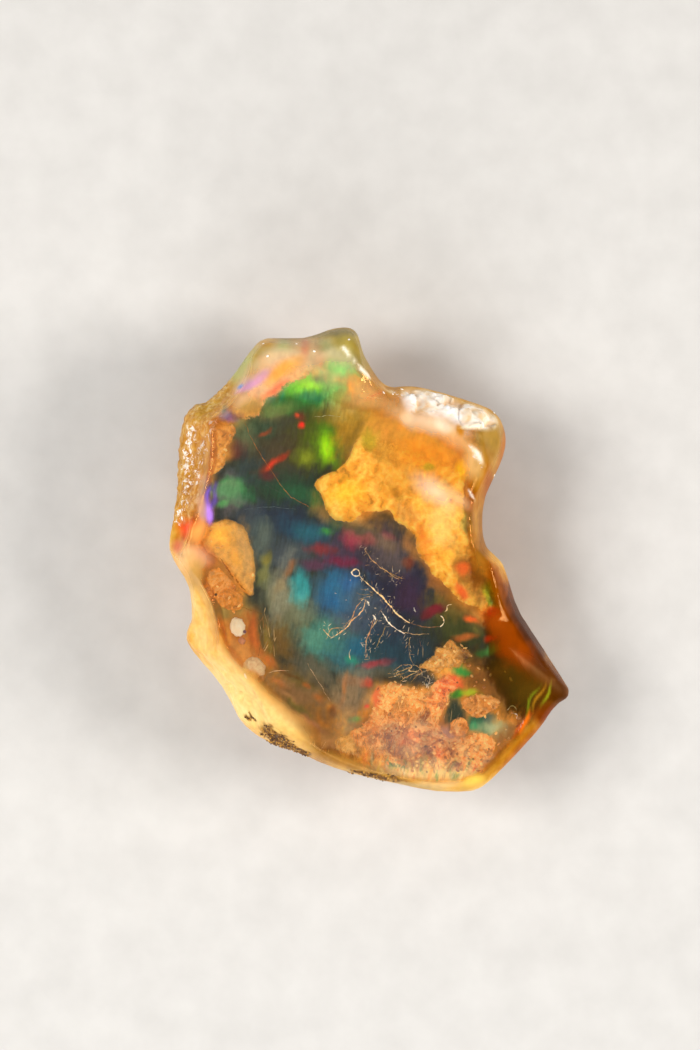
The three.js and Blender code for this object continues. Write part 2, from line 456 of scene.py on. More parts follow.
def bent(corners, steps=4, closed=False):
    """A path through its corners, bent smoothly between them."""
    corners = [np.array(corner, float) for corner in corners]
    n = len(corners)
    ring = corners if closed else [corners[0], *corners, corners[-1]]
    starts = range(n) if closed else range(n - 1)
    path = []
    for i in starts:
        a, b, c, d = [ring[(i + k - closed) % len(ring)] for k in range(4)]
        for f in np.arange(steps) / steps:
            curve = 2 * b + (c - a) * f + (2 * a - 5 * b + 4 * c - d) * f * f
            path.append(0.5 * (curve + (3 * b - a - 3 * c + d) * f**3))
    path.append(path[0] if closed else corners[-1])
    return path


def from_outline(points):
    """How far in from the stone's outline each point lies, in plan, towards the stone's middle."""
    reach = points[:, :2] - STONE_MIDDLE
    way = np.degrees(np.arctan2(reach[:, 1], reach[:, 0]))
    out = np.hypot(reach[:, 0], reach[:, 1])
    slices = np.arange(-180, 181, SLICE)
    furthest = [out[np.abs(way - middle_way) < 2].max() for middle_way in slices]
    return np.interp(way, slices, furthest) - out


def depth_inside(points, outline):
    """How deep each point lies inside a closed outline in plan, and less than 0 outside it."""
    ring = bent(outline, closed=True)
    x, y = points[:, 0], points[:, 1]
    odd = np.zeros(len(points), bool)
    for (ax, ay), (bx, by) in zip(ring, ring[1:]):
        if ay != by:
            odd ^= ((ay > y) != (by > y)) & (x < (bx - ax) * (y - ay) / (by - ay) + ax)
    return np.where(odd, 1, -1) * away(points, ring)


# %% [markdown]
# ## A brush
#
# Fire opal is streaked and cloudy, and no two of its patches are alike, so its colours are painted and
# not worked out by one rule. A stroke here is a turned oval with a frayed edge. It can be read, moved
# and recoloured by hand, and it follows the mesh's points, so it needs no image and no unwrapping.

# %% A brush
FRAY = 0.45  # how far the edge of the softest stroke frays, as a share of its size
STROKE_REACH = 2.2  # how far out a stroke is worked out at all, as a share of its size
STREAK_TURN = 82  # degrees: the streaks of fire opal run nearly up this stone
STREAK_SIZE = 0.45  # mm
STREAK_RATIO = 5.0
SHADING = 0.10  # how much a stroke's tone wavers along the streaks


def along_streaks(points):
    """The points in a frame turned with the streaks and squeezed along them."""
    c, s = math.cos(math.radians(STREAK_TURN)), math.sin(math.radians(STREAK_TURN))
    x, y = points[:, 0], points[:, 1]
    return np.column_stack([(x * c + y * s) / STREAK_RATIO, y * c - x * s, points[:, 2] * 0])


def oval(points, x, y, long, wide, turn):
    """How far each point is, in plan, from the middle of a turned oval, where 1 is the oval's edge."""
    c, s = math.cos(math.radians(turn)), math.sin(math.radians(turn))
    dx, dy = points[:, 0] - x, points[:, 1] - y
    return np.hypot((dx * c + dy * s) / long, (dy * c - dx * s) / wide)


def patches(points, ovals):
    """1 in the middle of soft ovals and 0 outside: each is x, y, half length, half width and turn."""
    return np.maximum.reduce([1 - smooth(oval(points, *shape), 0.5, 1.15) for shape in ovals])


def weighted(tones, body):
    """Tones weighted by how much body the skin has, from 0 for glass to 1 for chalk, and the body."""
    return np.column_stack([tones * body, np.full(len(tones), body)])


def paint(canvas, places, strokes, fray_reach=FRAY):
    """Paints strokes over the canvas, which has a row for each place, one after another.

    A stroke says what it shows, its colour, where its middle is, how long and how wide it is from the
    middle, how it is turned in degrees, how soft it is and how much of what is under it it hides. On
    the skin one more number says how clear it leaves the skin. A clear place has next to no tone of
    its own, so the skin's canvas holds tones weighted by how much body there is. The softer a stroke
    is, the more its edge fades and frays.
    """
    combed = along_streaks(places)
    frays = []
    for seed in (51.0, 58.0, 63.0):
        frays.append(cloud(places, 1.7, 4, seed) + 0.7 * cloud(combed, STREAK_SIZE, 3, seed))
    for lot, (what, code, x, y, long, wide, turn, soft, cover, *more) in enumerate(strokes):
        target = weighted(hues(code)[None], 1 - more[0])[0] if more else hues(code)
        reach = oval(places, x, y, long, wide, turn)
        met = np.flatnonzero(reach < STROKE_REACH)
        fray = frays[lot % len(frays)][met]
        frayed = reach[met] + fray_reach * soft * fray
        share = cover * (1 - smooth(frayed, 1 - 0.8 * soft, 1 + 0.6 * soft))
        shaded = np.tile(target, (len(met), 1))
        shaded[:, :3] *= (1 + SHADING * soft * fray)[:, None]
        canvas[met] += (shaded - canvas[met]) * share[:, None]


# %% [markdown]
# ## The clear outer body
#
# The CAD solid is right in shape and size, but its faces are flat and broad. It could be sculpted by
# hand. Here a copy is remeshed finely and relaxed until the facets melt into each other, as the surface
# of broken opal does, and rules move its points, so that each scar keeps its place and its size in
# millimetres. They are the scars that a stone cutter would notice: shallow ripples from the blow that
# split the stone, the knobbly scar along its high left edge, the splinters and the knob of the right
# shoulder, the crest of the head, the dents of the pale lower-left edge and the coarse rind of the back.

# %% A fine copy of the solid
OUTER_VOXEL = 0.30
OUTER_RELAXING = 12
MERGE_WITHIN = 1e-7  # metres
OUTER_SHARE = 0.86  # of the net's faces, once the underside is made coarser

solid = stone_node.data.copy()
bm = bmesh.new()
bm.from_mesh(solid)
bmesh.ops.remove_doubles(bm, verts=bm.verts, dist=MERGE_WITHIN)
bm.to_mesh(solid)
bm.free()

outer = object_from(solid, "clear_opal")
net = outer.modifiers.new("net", "REMESH")
net.mode = "VOXEL"
net.voxel_size = OUTER_VOXEL * MM
net.use_smooth_shade = True
relax = outer.modifiers.new("relax", "SMOOTH")
relax.iterations = OUTER_RELAXING
settle(outer)
thin_underside(outer, OUTER_SHARE)
skin = points_of(outer.data)
skin_normals = normals_of(outer.data)
print("outer body:", len(skin), "points")

# %% Where the scars are
# Paths and fields are in plan: x and y of each corner, in millimetres from the stone's middle.
LEFT_SCAR = [(-21.4, 23.4), (-23.4, 21.6), (-25.4, 18.0), (-26.0, 13.0), (-26.2, 9.6), (-26.4, 8.0)]
PALE_EDGE = [
    (-25.6, -7.0), (-24.8, -11.2), (-22.0, -15.4), (-18.8, -18.8), (-16.0, -21.8), (-13.6, -24.2),
    (-10.8, -26.6), (-8.0, -28.2),
]
BRUISE = [(6.8, 22.8), (8.6, 22.5), (10.4, 22.2), (13.0, 21.2), (16.2, 20.6)]
CREST = [(-3.7, 29.6), (-2.6, 28.2), (-1.4, 26.8), (0.2, 25.4), (3.0, 23.6)]
RIGHT_BEVEL = [(15.2, 3.4), (18.2, -1.0), (19.4, -4.6), (20.8, -7.8), (23.4, -12.0), (26.4, -16.6)]
BLOW = np.array([-30.0, -20.0])  # the ripples spread from here
KNOB = (14.7, 20.4, 2.2)  # x, y, radius
# Paths along which white glints are painted into the skin's tone: painted highlights.
GLINTS = [
    # how far it reaches to the sides, and its path
    (1.3, [(-21.2, 19.4), (-22.3, 17.4), (-23.3, 15.3), (-24.0, 13.4), (-24.2, 11.0)]),
    (1.4, [(-25.0, 18.4), (-25.4, 16.8), (-25.8, 13.4), (-25.7, 10.1), (-26.3, 7.6), (-27.0, 5.8)]),
    (0.6, [(14.0, 15.6), (14.8, 14.4), (15.5, 13.2)]),
    (0.6, [(13.5, 9.8), (14.3, 8.4)]),
    (0.6, [(3.0, 23.4), (6.0, 22.6)]),
]
MATRIX_FIELDS = [  # x, y, half length, half width, turn
    (-12.9, -25.3, 3.4, 1.2, -38), (-9.6, -27.2, 1.5, 0.5, -24), (-16.6, -22.2, 1.0, 0.45, -38),
    (0.8, -30.4, 4.4, 0.5, -9),
]
DULL_RIDGE = [(18.6, -8.0), (20.4, -12.0), (23.6, -15.8), (27.4, -18.8)]
DENTS = [  # x, y, radius
    (-20.4, -15.8, 0.5), (-19.7, -18.0, 0.9), (-18.4, -19.4, 0.8), (-24.9, -10.6, 0.6),
]


def near(path, inner, outer_reach):
    """1 on the skin along a path, fading to 0 between the two distances from it."""
    return 1 - smooth(away(skin, path), inner, outer_reach)


high, facing = skin[:, 2], skin_normals[:, 2]
upward = smooth(facing, 0.1, 0.75)
not_below = smooth(facing, -0.3, 0.1)
scar = near(LEFT_SCAR, 1.6, 3.6) * not_below * smooth(high, 8.0, 11.0)
pale = near(PALE_EDGE, 2.0, 4.0) * not_below * (1 - smooth(skin[:, 0], -11.0, -6.5))
bruise = near(BRUISE, 1.4, 2.9) * smooth(high, 12.0, 15.0)
rind = 1 - smooth(facing, -0.55, 0.15)
crusted = patches(skin + 0.5 * cloud(skin, 1.2, 3, seed=9.0)[:, None], MATRIX_FIELDS) * (high > 8.0)
crusted *= smooth(facing, -0.3, 0.0)
glinting = np.maximum.reduce([near(path, 0.0, reach) for reach, path in GLINTS]) * upward
dull = near(DULL_RIDGE, 0.0, 2.8) * smooth(-skin[:, 1], 9.0, 16.0)
knob_reach = np.linalg.norm(skin[:, :2] - KNOB[:2], axis=1) / KNOB[2]
knob = (1 - smooth(knob_reach, 0.4, 1.0)) * smooth(high, 12.0, 15.0)
print("share that is rind:", round(float(rind.mean()), 2))

# %% Relief of the outer body
SWELLS = 0.10  # all in mm
RIPPLES = 0.030
SCAR_BEADS = 0.42
SPLINTERS = 0.60
CREST_HEIGHT = 0.30
BEVEL_HEIGHT = 0.18
KNOB_HEIGHT = 0.5
KNOB_GROOVE = 0.35
LOWEST = 0.01  # the rind swells sideways but not into the floor
DENT_DEPTH = 0.6  # as a share of the dent's radius

broad = cloud(skin, 8.0, 2, seed=3.0)
fine = cloud(skin, 1.4, 3, seed=5.0)
bead, _, bead_chance = lumps(skin + 0.3 * fine[:, None], 1.15, seed=2.0)
_, crack, crust_chance = lumps(skin + 0.6 * fine[:, None], 4.5, seed=4.0)
from_blow = np.linalg.norm(skin[:, :2] - BLOW, axis=1)
ripples = np.sin(from_blow * 2.1 + 1.3 * broad) * np.exp(-(((from_blow - 18) / 9) ** 2))

relief = SWELLS * broad * upward + RIPPLES * ripples * upward
relief += scar * (SCAR_BEADS * (0.5 - bead) + 0.12 * bead_chance + 0.08 * fine)
facets = splinters(skin + 0.4 * fine[:, None], 3.8, 8.0) + 0.3 * splinters(skin, 1.6, 9.0)
relief += bruise * (SPLINTERS * facets + 0.04 * fine)
cracks = 0.25 * (1 - smooth(crack, 0.0, 0.25))
relief += rind * (0.28 * broad + 0.12 * fine + 0.14 * crust_chance - cracks)
relief += pale * (0.05 * fine + 0.14 * broad)
relief += CREST_HEIGHT * near(CREST, 0.1, 1.1) * upward
relief += BEVEL_HEIGHT * near(RIGHT_BEVEL, 0.1, 0.8) * upward
relief += KNOB_HEIGHT * knob - KNOB_GROOVE * (1 - smooth(np.abs(knob_reach - 1.05), 0.0, 0.2)) * upward
for x, y, radius in DENTS:
    reach = np.linalg.norm((skin[:, :2] - (x, y)) / radius + 0.3 * fine[:, None], axis=1)
    relief -= DENT_DEPTH * radius * (1 - smooth(reach, 0.2, 1.1)) * (high > WAIST_HEIGHT)
skin = skin + relief[:, None] * skin_normals
skin[:, 2] = np.maximum(skin[:, 2], LOWEST)
move_to(outer.data, skin)
print("relief, mm:", round(float(relief.min()), 2), "to", round(float(relief.max()), 2))

# %% [markdown]
# ## Colours of the skin
#
# Only the middle of the face is quite clear. Towards its rims the opal is milky, and there the tone of
# the skin itself counts. Noise alone would put those tones anywhere. So each point of the skin gets two
# things by the brush, a tone and how clear it is, from 0 for chalk to 1 for glass, and both come from
# the same strokes.

# %% Veils of the head
VEILS = [
    # what, colour, x, y, half length, half width, turn, softness, cover, how clear it leaves the skin
    ("veil over the head", "d8d0a8", -7, 29.4, 10, 2.6, -2, 0.8, 0.9, 0.55),
    ("knob of the head", "bca848", -3, 31.2, 3.4, 2, -20, 0.8, 0.9, 0.35),
    ("slope right of the crest", "9c8838", -0.6, 28.4, 1.2, 3.4, 25, 0.7, 0.8, 0.25),
    ("amber foot of that slope", "b88434", 0.8, 26, 1.2, 1.4, 0, 0.9, 0.8, 0.4),
    ("orange band of the head", "f0a070", -9.4, 29.6, 0.8, 1.8, -6, 0.9, 0.5, 0.7),
    ("green band of the head", "b4d094", -12.2, 29.8, 1.2, 1.6, 0, 0.9, 0.7, 0.55),
    ("second green band", "a0cc8c", -6.6, 30.2, 1, 1.2, 0, 0.9, 0.5, 0.7),
    # The head's top rim is painted darker: its olive tone, with painted shade.
    ("olive rim of the head, painted darker as shade", "8c8044", -7, 31.9, 7.6, 0.8, 0, 0.9, 0.9, 0.3),
    ("green-gold slope", "b8c078", -18.6, 26.6, 4.2, 1.4, 46, 0.9, 1, 0.35),
    ("cream of the slope", "e0cc98", -17.2, 26, 3.6, 0.9, 40, 0.9, 0.6, 0.5),
    ("lilac veil", "dcbcc8", -17.8, 24.2, 2, 0.9, 36, 1, 0.9, 0.35),
    ("lilac veil, upper", "c8a0d0", -15.4, 25.8, 1.3, 0.4, 28, 1.2, 0.8, 0.5),
    ("violet end of the veil", "c08cdc", -14.6, 26.4, 0.6, 0.25, 30, 1, 0.7, 0.5),
    ("white beside the veil", "f0e4dc", -18.8, 23.2, 0.8, 0.35, 60, 0.8, 0.8, 0.4),
    ("pearl", "ecdcb8", -13, 28, 2.8, 1.2, 20, 1, 0.8, 0.5),
    ("milk over the crown", "f4dcb8", -13.6, 25.6, 5.4, 2.2, 36, 1, 0.8, 0.66),
    ("milk right of the crown", "e0dca0", -5, 26, 3.6, 1.8, 0, 1, 0.7, 0.66),
    ("milk at the foot of the crest", "f0cc88", -1, 23.6, 2.6, 1.8, 0, 1, 0.7, 0.6),
    ("gold of the crown", "fcb848", -12, 26.6, 2.6, 0.9, 38, 1, 0.6, 0.55),
    ("rose edge of the crown", "f47c58", -13.4, 23.7, 2, 0.45, 32, 1, 0.6, 0.6),
    ("lilac streak of the crown", "d8a0dc", -16.7, 24.5, 3.2, 0.5, 34, 1, 0.75, 0.4),
    ("khaki under the crown", "c8a860", -17.2, 21.2, 1.6, 1, 30, 1, 0.6, 0.5),
    ("blue spot", "6c98f0", -18.4, 24.2, 0.5, 0.35, 30, 0.8, 0.9, 0.4),
    ("beige of the upper left", "d0c498", -20.4, 22.3, 1.5, 1.2, 45, 1, 0.9, 0.35),
    ("khaki by the crown", "d8bc90", -17.9, 22, 1.4, 0.9, 40, 1, 0.8, 0.45),
    ("grey-lilac beside it", "ac9cac", -20.1, 20.2, 1, 0.7, 30, 1, 0.8, 0.45),
    ("sea-green streak", "489898", -20.2, 20.9, 0.7, 0.4, 60, 0.9, 0.8, 0.6),
    ("top honey", "dcb070", -0.6, 22.4, 3.6, 1.2, 0, 1, 0.5, 0.6),
    ("cream beside the splinters", "dcb478", 3.4, 21.8, 2.4, 1.6, -10, 1, 0.6, 0.5),
]
print(len(VEILS), "veils so far")

# %% Veils of the right side
VEILS += [
    ("right shoulder", "b88c38", 17.6, 15.8, 2.2, 5, 0, 0.8, 0.95, 0.3),
    ("olive of the shoulder", "ac8834", 16.6, 17.2, 1.6, 2.4, 0, 1, 0.8, 0.3),
    ("amber edge of the shoulder", "b86408", 19, 15, 0.8, 5, -8, 0.8, 0.8, 0.3),
    ("right wall", "b07010", 16.2, 10, 1.8, 4.6, 5, 0.9, 0.9, 0.16),
    ("amber edge of the wall", "984c00", 17.2, 8.4, 1.2, 4.4, 15, 0.8, 0.95, 0.08),
    ("right neck", "98621a", 16, 2.8, 1.6, 5, -4, 0.9, 1, 0.12),
    ("orange rim", "8c4400", 19.9, -6.6, 1.7, 5.6, 27, 0.9, 1, 0.08),
    ("orange glass", "8e3c00", 20.8, -11.6, 4.2, 2.8, -55, 0.9, 0.95, 0.14),
    ("warm glow in the glass", "a84c08", 18, -8.6, 2, 1.5, -60, 1, 0.6, 0.25),
    ("dark edge of the rim", "401a00", 22.4, -9.4, 1.6, 6, 30, 0.7, 0.95, 0.03),
    # The veil under the splinters and the white finger are partly crushed white opal, partly painted
    # highlight.
    ("veil under the splinters", "fae0b8", 9.4, 19.3, 5, 1.5, -14, 1, 0.9, 0.32),
    ("peach veil", "f4c484", 12, 16.9, 2.2, 1.1, -40, 1, 0.7, 0.42),
    ("white finger", "fbe8cc", 10.2, 19, 1.4, 0.9, -44, 0.9, 0.7, 0.2),
    ("amber pocket", "cc8420", 12.8, 18.1, 0.6, 0.9, 10, 0.8, 0.9, 0.3),
    ("crescent under the knob", "fff2cc", 14.6, 18.5, 1.8, 0.35, 4, 0.6, 0.95, 0.1),
    ("cream down to the wall", "f4cc84", 14.5, 13.3, 1.4, 2.8, 15, 1, 0.8, 0.35),
    # A soft white patch on the face over the gold, with its tail: a painted reflection.
    ("white patch of painted reflection", "f8e4cc", 8.9, 9.5, 2.9, 1.4, -34, 1.2, 0.65, 0.4),
    ("tail of the painted reflection", "f0cc98", 12.2, 8.4, 1.8, 0.8, -38, 1, 0.6, 0.45),
    # The two white flecks are painted highlights where the right wall glints.
    ("white fleck", "fff4e4", 14.8, 14.4, 1.5, 0.45, -52, 0.8, 0.9, 0.15),
    ("white fleck by the neck", "fff2e0", 14.2, 8.9, 0.8, 0.2, -60, 0.7, 0.8, 0.3),
    ("pale smudge", "f8dcb0", 5.4, 20.2, 0.8, 1, 20, 1, 0.8, 0.4),
]
print(len(VEILS), "veils so far")

# %% Veils of the left side
VEILS += [
    ("green-gold top of the scar", "c8b84c", -23.4, 21.2, 2.8, 1.6, 50, 0.8, 1, 0.25),
    ("scar", "c08c30", -26, 14, 1.8, 7, -3, 0.8, 0.8, 0.25),
    ("pink above the violet", "ecb4b0", -24, 11.4, 0.8, 0.8, 0, 1, 0.8, 0.45),
    ("beige below it", "c89468", -24.8, 8, 0.8, 1.8, -4, 1, 0.7, 0.4),
    ("violet edge", "bc84f4", -22.4, 6.6, 0.6, 1.6, -6, 0.8, 0.95, 0.15),
    ("upper violet edge", "8c68e0", -22.2, 9, 0.35, 1.3, -4, 1, 0.8, 0.4),
    ("pale pink beside the violet", "d8aca4", -23.4, 8.2, 0.8, 3.2, -4, 0.9, 0.8, 0.25),
    ("red glow", "f04818", -25.7, 4.6, 1.5, 1.2, 0, 1.2, 0.85, 0.15),
    ("orange beside the glow", "f8ac58", -23.9, 4, 1, 1.8, 0, 1, 0.9, 0.25),
    ("cream of the left knob", "fcc888", -25.6, 0.2, 2, 2.2, 0, 1, 0.95, 0.18),
    ("pink of the left knob", "f08468", -27, 2.2, 0.9, 0.9, 0, 1, 0.8, 0.4),
    ("pink low", "f4b48c", -23.6, 0.2, 1.3, 1.2, 0, 1.2, 0.55, 0.4),
    ("left waist", "d0a050", -24.8, -3.2, 1.5, 3.2, 0, 1, 0.9, 0.22),
]
print(len(VEILS), "veils so far")

# %% Veils of the low edge and the tip
VEILS += [
    ("amber inside the pale edge", "dc9c40", -21.4, -11.4, 4.4, 1.1, -66, 0.9, 0.9, 0.45),
    ("its low stretch", "e4a850", -16, -18.2, 4.2, 1.3, -42, 0.9, 0.9, 0.45),
    ("its foot", "c89048", -10.4, -22.6, 3, 1, -32, 0.9, 0.7, 0.55),
    ("gold inside the low edge", "dca458", -11.8, -21, 2.8, 0.8, -40, 1, 0.8, 0.35),
    ("haze over the low corner", "b89868", -9, -20.4, 4.2, 2, -38, 1, 0.3, 0.8),
    ("milk of the low rim", "b88438", -4, -28.4, 7.4, 1, -14, 1, 0.8, 0.4),
    ("milk of the bottom", "f0d090", 8, -31.6, 6.6, 0.7, -2, 1, 0.85, 0.45),
    ("yellow end", "f8d058", 14.6, -31.4, 2, 0.8, 12, 0.9, 0.9, 0.35),
    ("haze over the crumbs", "e4c4a8", 5.6, -25.6, 6, 2.8, -5, 1, 0.6, 0.78),
    ("low right edge", "a85800", 21.4, -26.4, 5.2, 0.9, 45, 1, 0.9, 0.25),
    ("dark start of that edge", "702c00", 25, -21.8, 2.2, 1.3, 50, 0.8, 0.95, 0.1),
    ("clear over the fan", "f8ecd0", 7, -29.4, 8.2, 1.3, -2, 0.7, 0.9, 0.9),
    ("glass of the tip", "5c2c00", 25, -17.6, 3.8, 3, -30, 0.8, 1, 0.08),
    ("olive of the tip", "54400c", 22.4, -18.6, 2.8, 2.4, -20, 1.2, 0.7, 0.25),
    ("dark above the tip", "64480c", 19.4, -15.6, 2.4, 1.6, -20, 1.2, 0.5, 0.5),
    ("dark tip", "482200", 26.8, -19.2, 1.8, 1.6, 0, 0.9, 0.9, 0.06),
    ("green streak of the tip", "8c9818", 25, -18.9, 0.22, 1.9, -14, 0.9, 0.8, 0.1),
    ("second green streak", "707c14", 22.9, -20, 0.22, 2.4, -17, 0.9, 0.8, 0.12),
    ("gold streak of the tip", "a87418", 23.9, -19.3, 0.2, 2.4, -16, 0.9, 0.8, 0.1),
    ("orange streak of the tip", "e46c14", 22, -23, 0.3, 1.8, -28, 0.8, 0.9, 0.15),
    ("amber spill", "dc7410", -15.6, -25, 1.4, 0.5, -38, 0.8, 0.9, 0.2),
]
print(len(VEILS), "veils on the skin")

# %% The skin's tone and clearness
GLASS = "fff0d8"
GLASS_BODY = 0.01  # how much body the clear face has, from 0 for glass to 1 for chalk
RIM_BODY = 0.84

honeyed = ramped(broad + 0.5 * fine, (-0.6, "b47818"), (0.0, "d8a03c"), (0.7, "ecc068"))
side = 1 - smooth(facing, 0.15, 0.7)
rim = np.maximum(side, 1 - smooth(from_outline(skin), 0.8, 2.6))
canvas = weighted(np.tile(hues(GLASS), (len(skin), 1)), GLASS_BODY)
canvas += (weighted(honeyed, RIM_BODY) - canvas) * rim[:, None]
stroked = canvas.copy()
paint(stroked, drifted(skin, 3.5, 0.7, seed=2.0), VEILS, fray_reach=0.22)
canvas += (stroked - canvas) * smooth(facing, -0.35, 0.05)[:, None]

# A fine white line along the crest: a painted highlight on the ridge.
crest_highlight = 0.9 * near(CREST, 0.05, 0.5) * smooth(fine, -0.45, 0.2) * upward
# The scar's bead tops are painted paler and the gaps between beads darker: painted highlight and painted
# shade over the scar's amber.
bead_shading = bead - 0.5 * bead_chance
# Higher splinter facets are painted paler: partly the white of crushed opal, partly painted highlight on
# raised facets, with painted peach shade in the low ones.
splinter_shading = facets + 0.4 * fine
palest = ramped(0.5 * fine + broad, (-1.0, "cc8c30"), (-0.3, "e4ac50"), (0.5, "ecc478"))
palest += (hues("f4dc98") - palest) * (0.55 * smooth(-skin[:, 1], 13.0, 18.0))[:, None]
palest += (hues("e4a84c") - palest) * (0.7 * smooth(-skin[:, 1], 21.5, 25.0))[:, None]
for share, tone, body in (
    (0.5 * scar, ramped(bead_shading, (-0.4, "f4dcac"), (0.0, "d8a458"), (0.6, "b47c2c")), 0.75),
    (pale, palest, 0.90),
    (bruise, ramped(splinter_shading, (-0.8, "f0c898"), (-0.2, "fdf0dc"), (0.4, "ffffff")), 0.95),
    (knob, ramped(fine, (-0.6, "e8c894"), (0.4, "fff4e0")), 0.93),
    (crest_highlight, ramped(fine, (-0.5, "f0d8a0"), (0.2, "fffaec")), 0.85),
    (crusted, ramped(fine, (-0.5, "3c2408"), (0.1, "6c4818"), (0.6, "a47830")), 0.95),
    (rind, ramped(broad + crust_chance * 0.4, (-0.9, "8a5424"), (0.0, "c08844"), (0.9, "e4bc80")), 0.78),
):
    canvas += (weighted(tone, body) - canvas) * share[:, None]

keep_tone(outer.data, "tone", canvas[:, :3] / canvas[:, 3:])
keep(outer.data, "clear", 1 - canvas[:, 3])
crusty = np.maximum.reduce([rind, 0.45 * pale, 0.25 * scar])
keep(outer.data, "crusty", crusty)
keep(outer.data, "rough", np.maximum.reduce([crusty, 0.7 * side, 0.9 * dull]))
keep(outer.data, "glinting", glinting)
keep(outer.data, "scarred", scar)
keep(outer.data, "bruised", bruise)
print("milkiest and clearest skin:", canvas[:, 3].max().round(2), canvas[:, 3].min().round(2))

# %% [markdown]
# ## Finish of the clear body
#
# Clear opal is a glass that bends light a little less than window glass, and this one is tinted like
# honey. The tint is absorption inside the body, so thin edges stay pale and deep places turn amber. A
# milky place is the same shader with less transmission, so light comes back from it instead.

# %% Clear opal
OPAL_IOR = 1.45
POLISH = (0.04, 0.45)  # roughness of the clear face, and of the crust and the broken sides
CRUST_BUMP = 0.14
OPAL_GLOSS = 0.12
GLOSS_TINT = "ffc070"
HONEY = "ffc860"
HONEY_DENSITY = 80.0
# Milky places of the skin glow faintly in their own tone: painted light.
SKIN_GLOW = 0.14


def clear_opal_finish():
    opal = Finish("clear_opal")
    rough, crusty, clear = [opal.attribute(name) for name in ("rough", "crusty", "clear")]
    wet = opal.grain(1.0, 5.0, 0.65, distortion=0.8)
    beads = opal.ramp(wet, (0.36, "a06410"), (0.46, "c88c28"), (0.54, "dcb058"), (0.62, "f4e0a4"))
    tone = opal.mix(opal.times(opal.attribute("scarred"), 0.45), opal.painted("tone"), beads)
    # The bruise's chips: partly the white of crushed opal, partly painted highlight.
    chipped = opal.grain(2.0, 4.0, 0.55, distortion=0.8)
    chips_and_glints = opal.ramp(chipped, (0.36, "f0c48c"), (0.48, "fff0dc"), (0.60, "ffffff"))
    tone = opal.mix(opal.times(opal.attribute("bruised"), 0.4), tone, chips_and_glints)
    # Painted highlights: white glints laid into the tone along the glint paths.
    glinting = opal.attribute("glinting")
    glint = opal.math("ADD", opal.grain(0.7, 5.0, 0.7, 0.6), opal.times(glinting, 0.12))
    glint = opal.times(opal.span(glint, 0.60, 0.65), opal.span(glinting, 0.0, 0.3))
    tone = opal.mix(glint, tone, "fffcf2")
    fine = opal.grain(0.9, 5.0, 0.6)
    tone = opal.mottled(tone, opal.times(crusty, 0.8), fine, "8c8c8c", "dedede")
    opal.set(
        {
            "Base Color": tone,
            "Transmission Weight": clear,
            "Roughness": opal.span(rough, 0.0, 1.0, *POLISH),
            "IOR": OPAL_IOR,
            "Specular IOR Level": OPAL_GLOSS,
            "Specular Tint": GLOSS_TINT,
            "Emission Color": opal.mix(clear, tone, "000000"),
            "Emission Strength": SKIN_GLOW,
        }
    )
    opal.bump(opal.times(fine, crusty), CRUST_BUMP)
    honey = opal.node("ShaderNodeVolumeAbsorption", {"Color": HONEY, "Density": HONEY_DENSITY})
    opal.tree.links.new(honey.outputs[0], opal.tree.nodes["Material Output"].inputs["Volume"])
    return opal.material


dress(outer, clear_opal_finish())

# %% [markdown]
# ## The fire layer
#
# Under the clear skin lies the body of the stone: the layers of opal that throw colour. It follows the
# outside a little below it on every side, so there is clear honey to look through first, wherever one
# looks from. That is a shape which follows a surface, so geometry nodes make it: they fill the clear
# body with a field that says how deep each place lies, and wrap a net of small faces round all that is
# deeper than the skin is thick.

# %% Grow the fire layer inside the clear body
SKIN_DEPTH = 1.2
FIRE_VOXEL = 0.23
FIRE_RELAXING = 4
FIRE_SHARE = 0.6  # of the net's faces, once the underside is made coarser

sunken = Grower("sunken_copy", {"Depth": "Float", "Voxel": "Float"})
field = sunken.node(
    "GeometryNodeMeshToVolume",
    {
        "Mesh": sunken.given["Shape"],
        "Voxel Size": sunken.given["Voxel"],
        "Interior Band Width": sunken.times(sunken.given["Depth"], 2.0),
    },
    resolution_mode="VOXEL_SIZE",
)
wrap = sunken.node("GeometryNodeVolumeToMesh", {"Volume": field.outputs[0], "Threshold": 0.5})
sunken.end(wrap.outputs[0])

fire = sunken.grow("fire_layer", outer.data.copy(), Depth=SKIN_DEPTH * MM, Voxel=FIRE_VOXEL * MM)
relax = fire.modifiers.new("relax", "SMOOTH")
relax.iterations = FIRE_RELAXING
settle(fire)
thin_underside(fire, FIRE_SHARE)
core = points_of(fire.data)
core_normals = normals_of(fire.data)
top = np.flatnonzero(core_normals[:, 2] > 0.0)
print("fire layer:", len(core), "points,", len(top), "of them on top")

# %% [markdown]
# ## What shows in the fire layer
#
# The layer is one surface, but it shows three kinds of opal. The dark window lies deepest. The milky
# masses stand up out of it almost to the face, with crisp torn edges and a crumpled or crumbly grain,
# which is real relief, because the lamps have to catch it. Between them lies honey. Each mass is a
# drawn outline with its rise, its grain and its three colours from its folds to its crests.

# %% The window
WINDOW = [
    (-4.6, 24.0), (-8.0, 25.0), (-12.0, 23.8), (-14.4, 21.4), (-16.6, 19.8), (-19.0, 18.2),
    (-19.6, 14.6), (-21.6, 12.2), (-22.4, 9.0), (-22.4, 6.0), (-20.6, 4.6), (-18.4, 3.2),
    (-17.2, 0.5), (-17.0, -2.6), (-17.2, -5.5), (-15.4, -8.5), (-14.2, -12.0), (-12.6, -15.0),
    (-9.0, -16.4), (-6.0, -18.8), (-3.5, -21.4), (-1.5, -20.5), (1.0, -17.2), (5.0, -17.5),
    (8.5, -15.8), (10.4, -12.0), (14.6, -14.2), (18.4, -14.6), (17.0, -10.6), (12.8, -6.8),
    (8.8, -2.6), (7.0, 2.0), (4.5, 5.6), (1.0, 6.4), (-3.0, 5.2), (-6.0, 7.6),
    (-7.4, 10.4), (-5.0, 12.8), (-2.6, 16.0), (-1.6, 19.0), (-1.8, 22.0),
]
WINDOW_BLUR = 1.1
WINDOW_SINK = 1.3
print(len(WINDOW), "corners of the window")
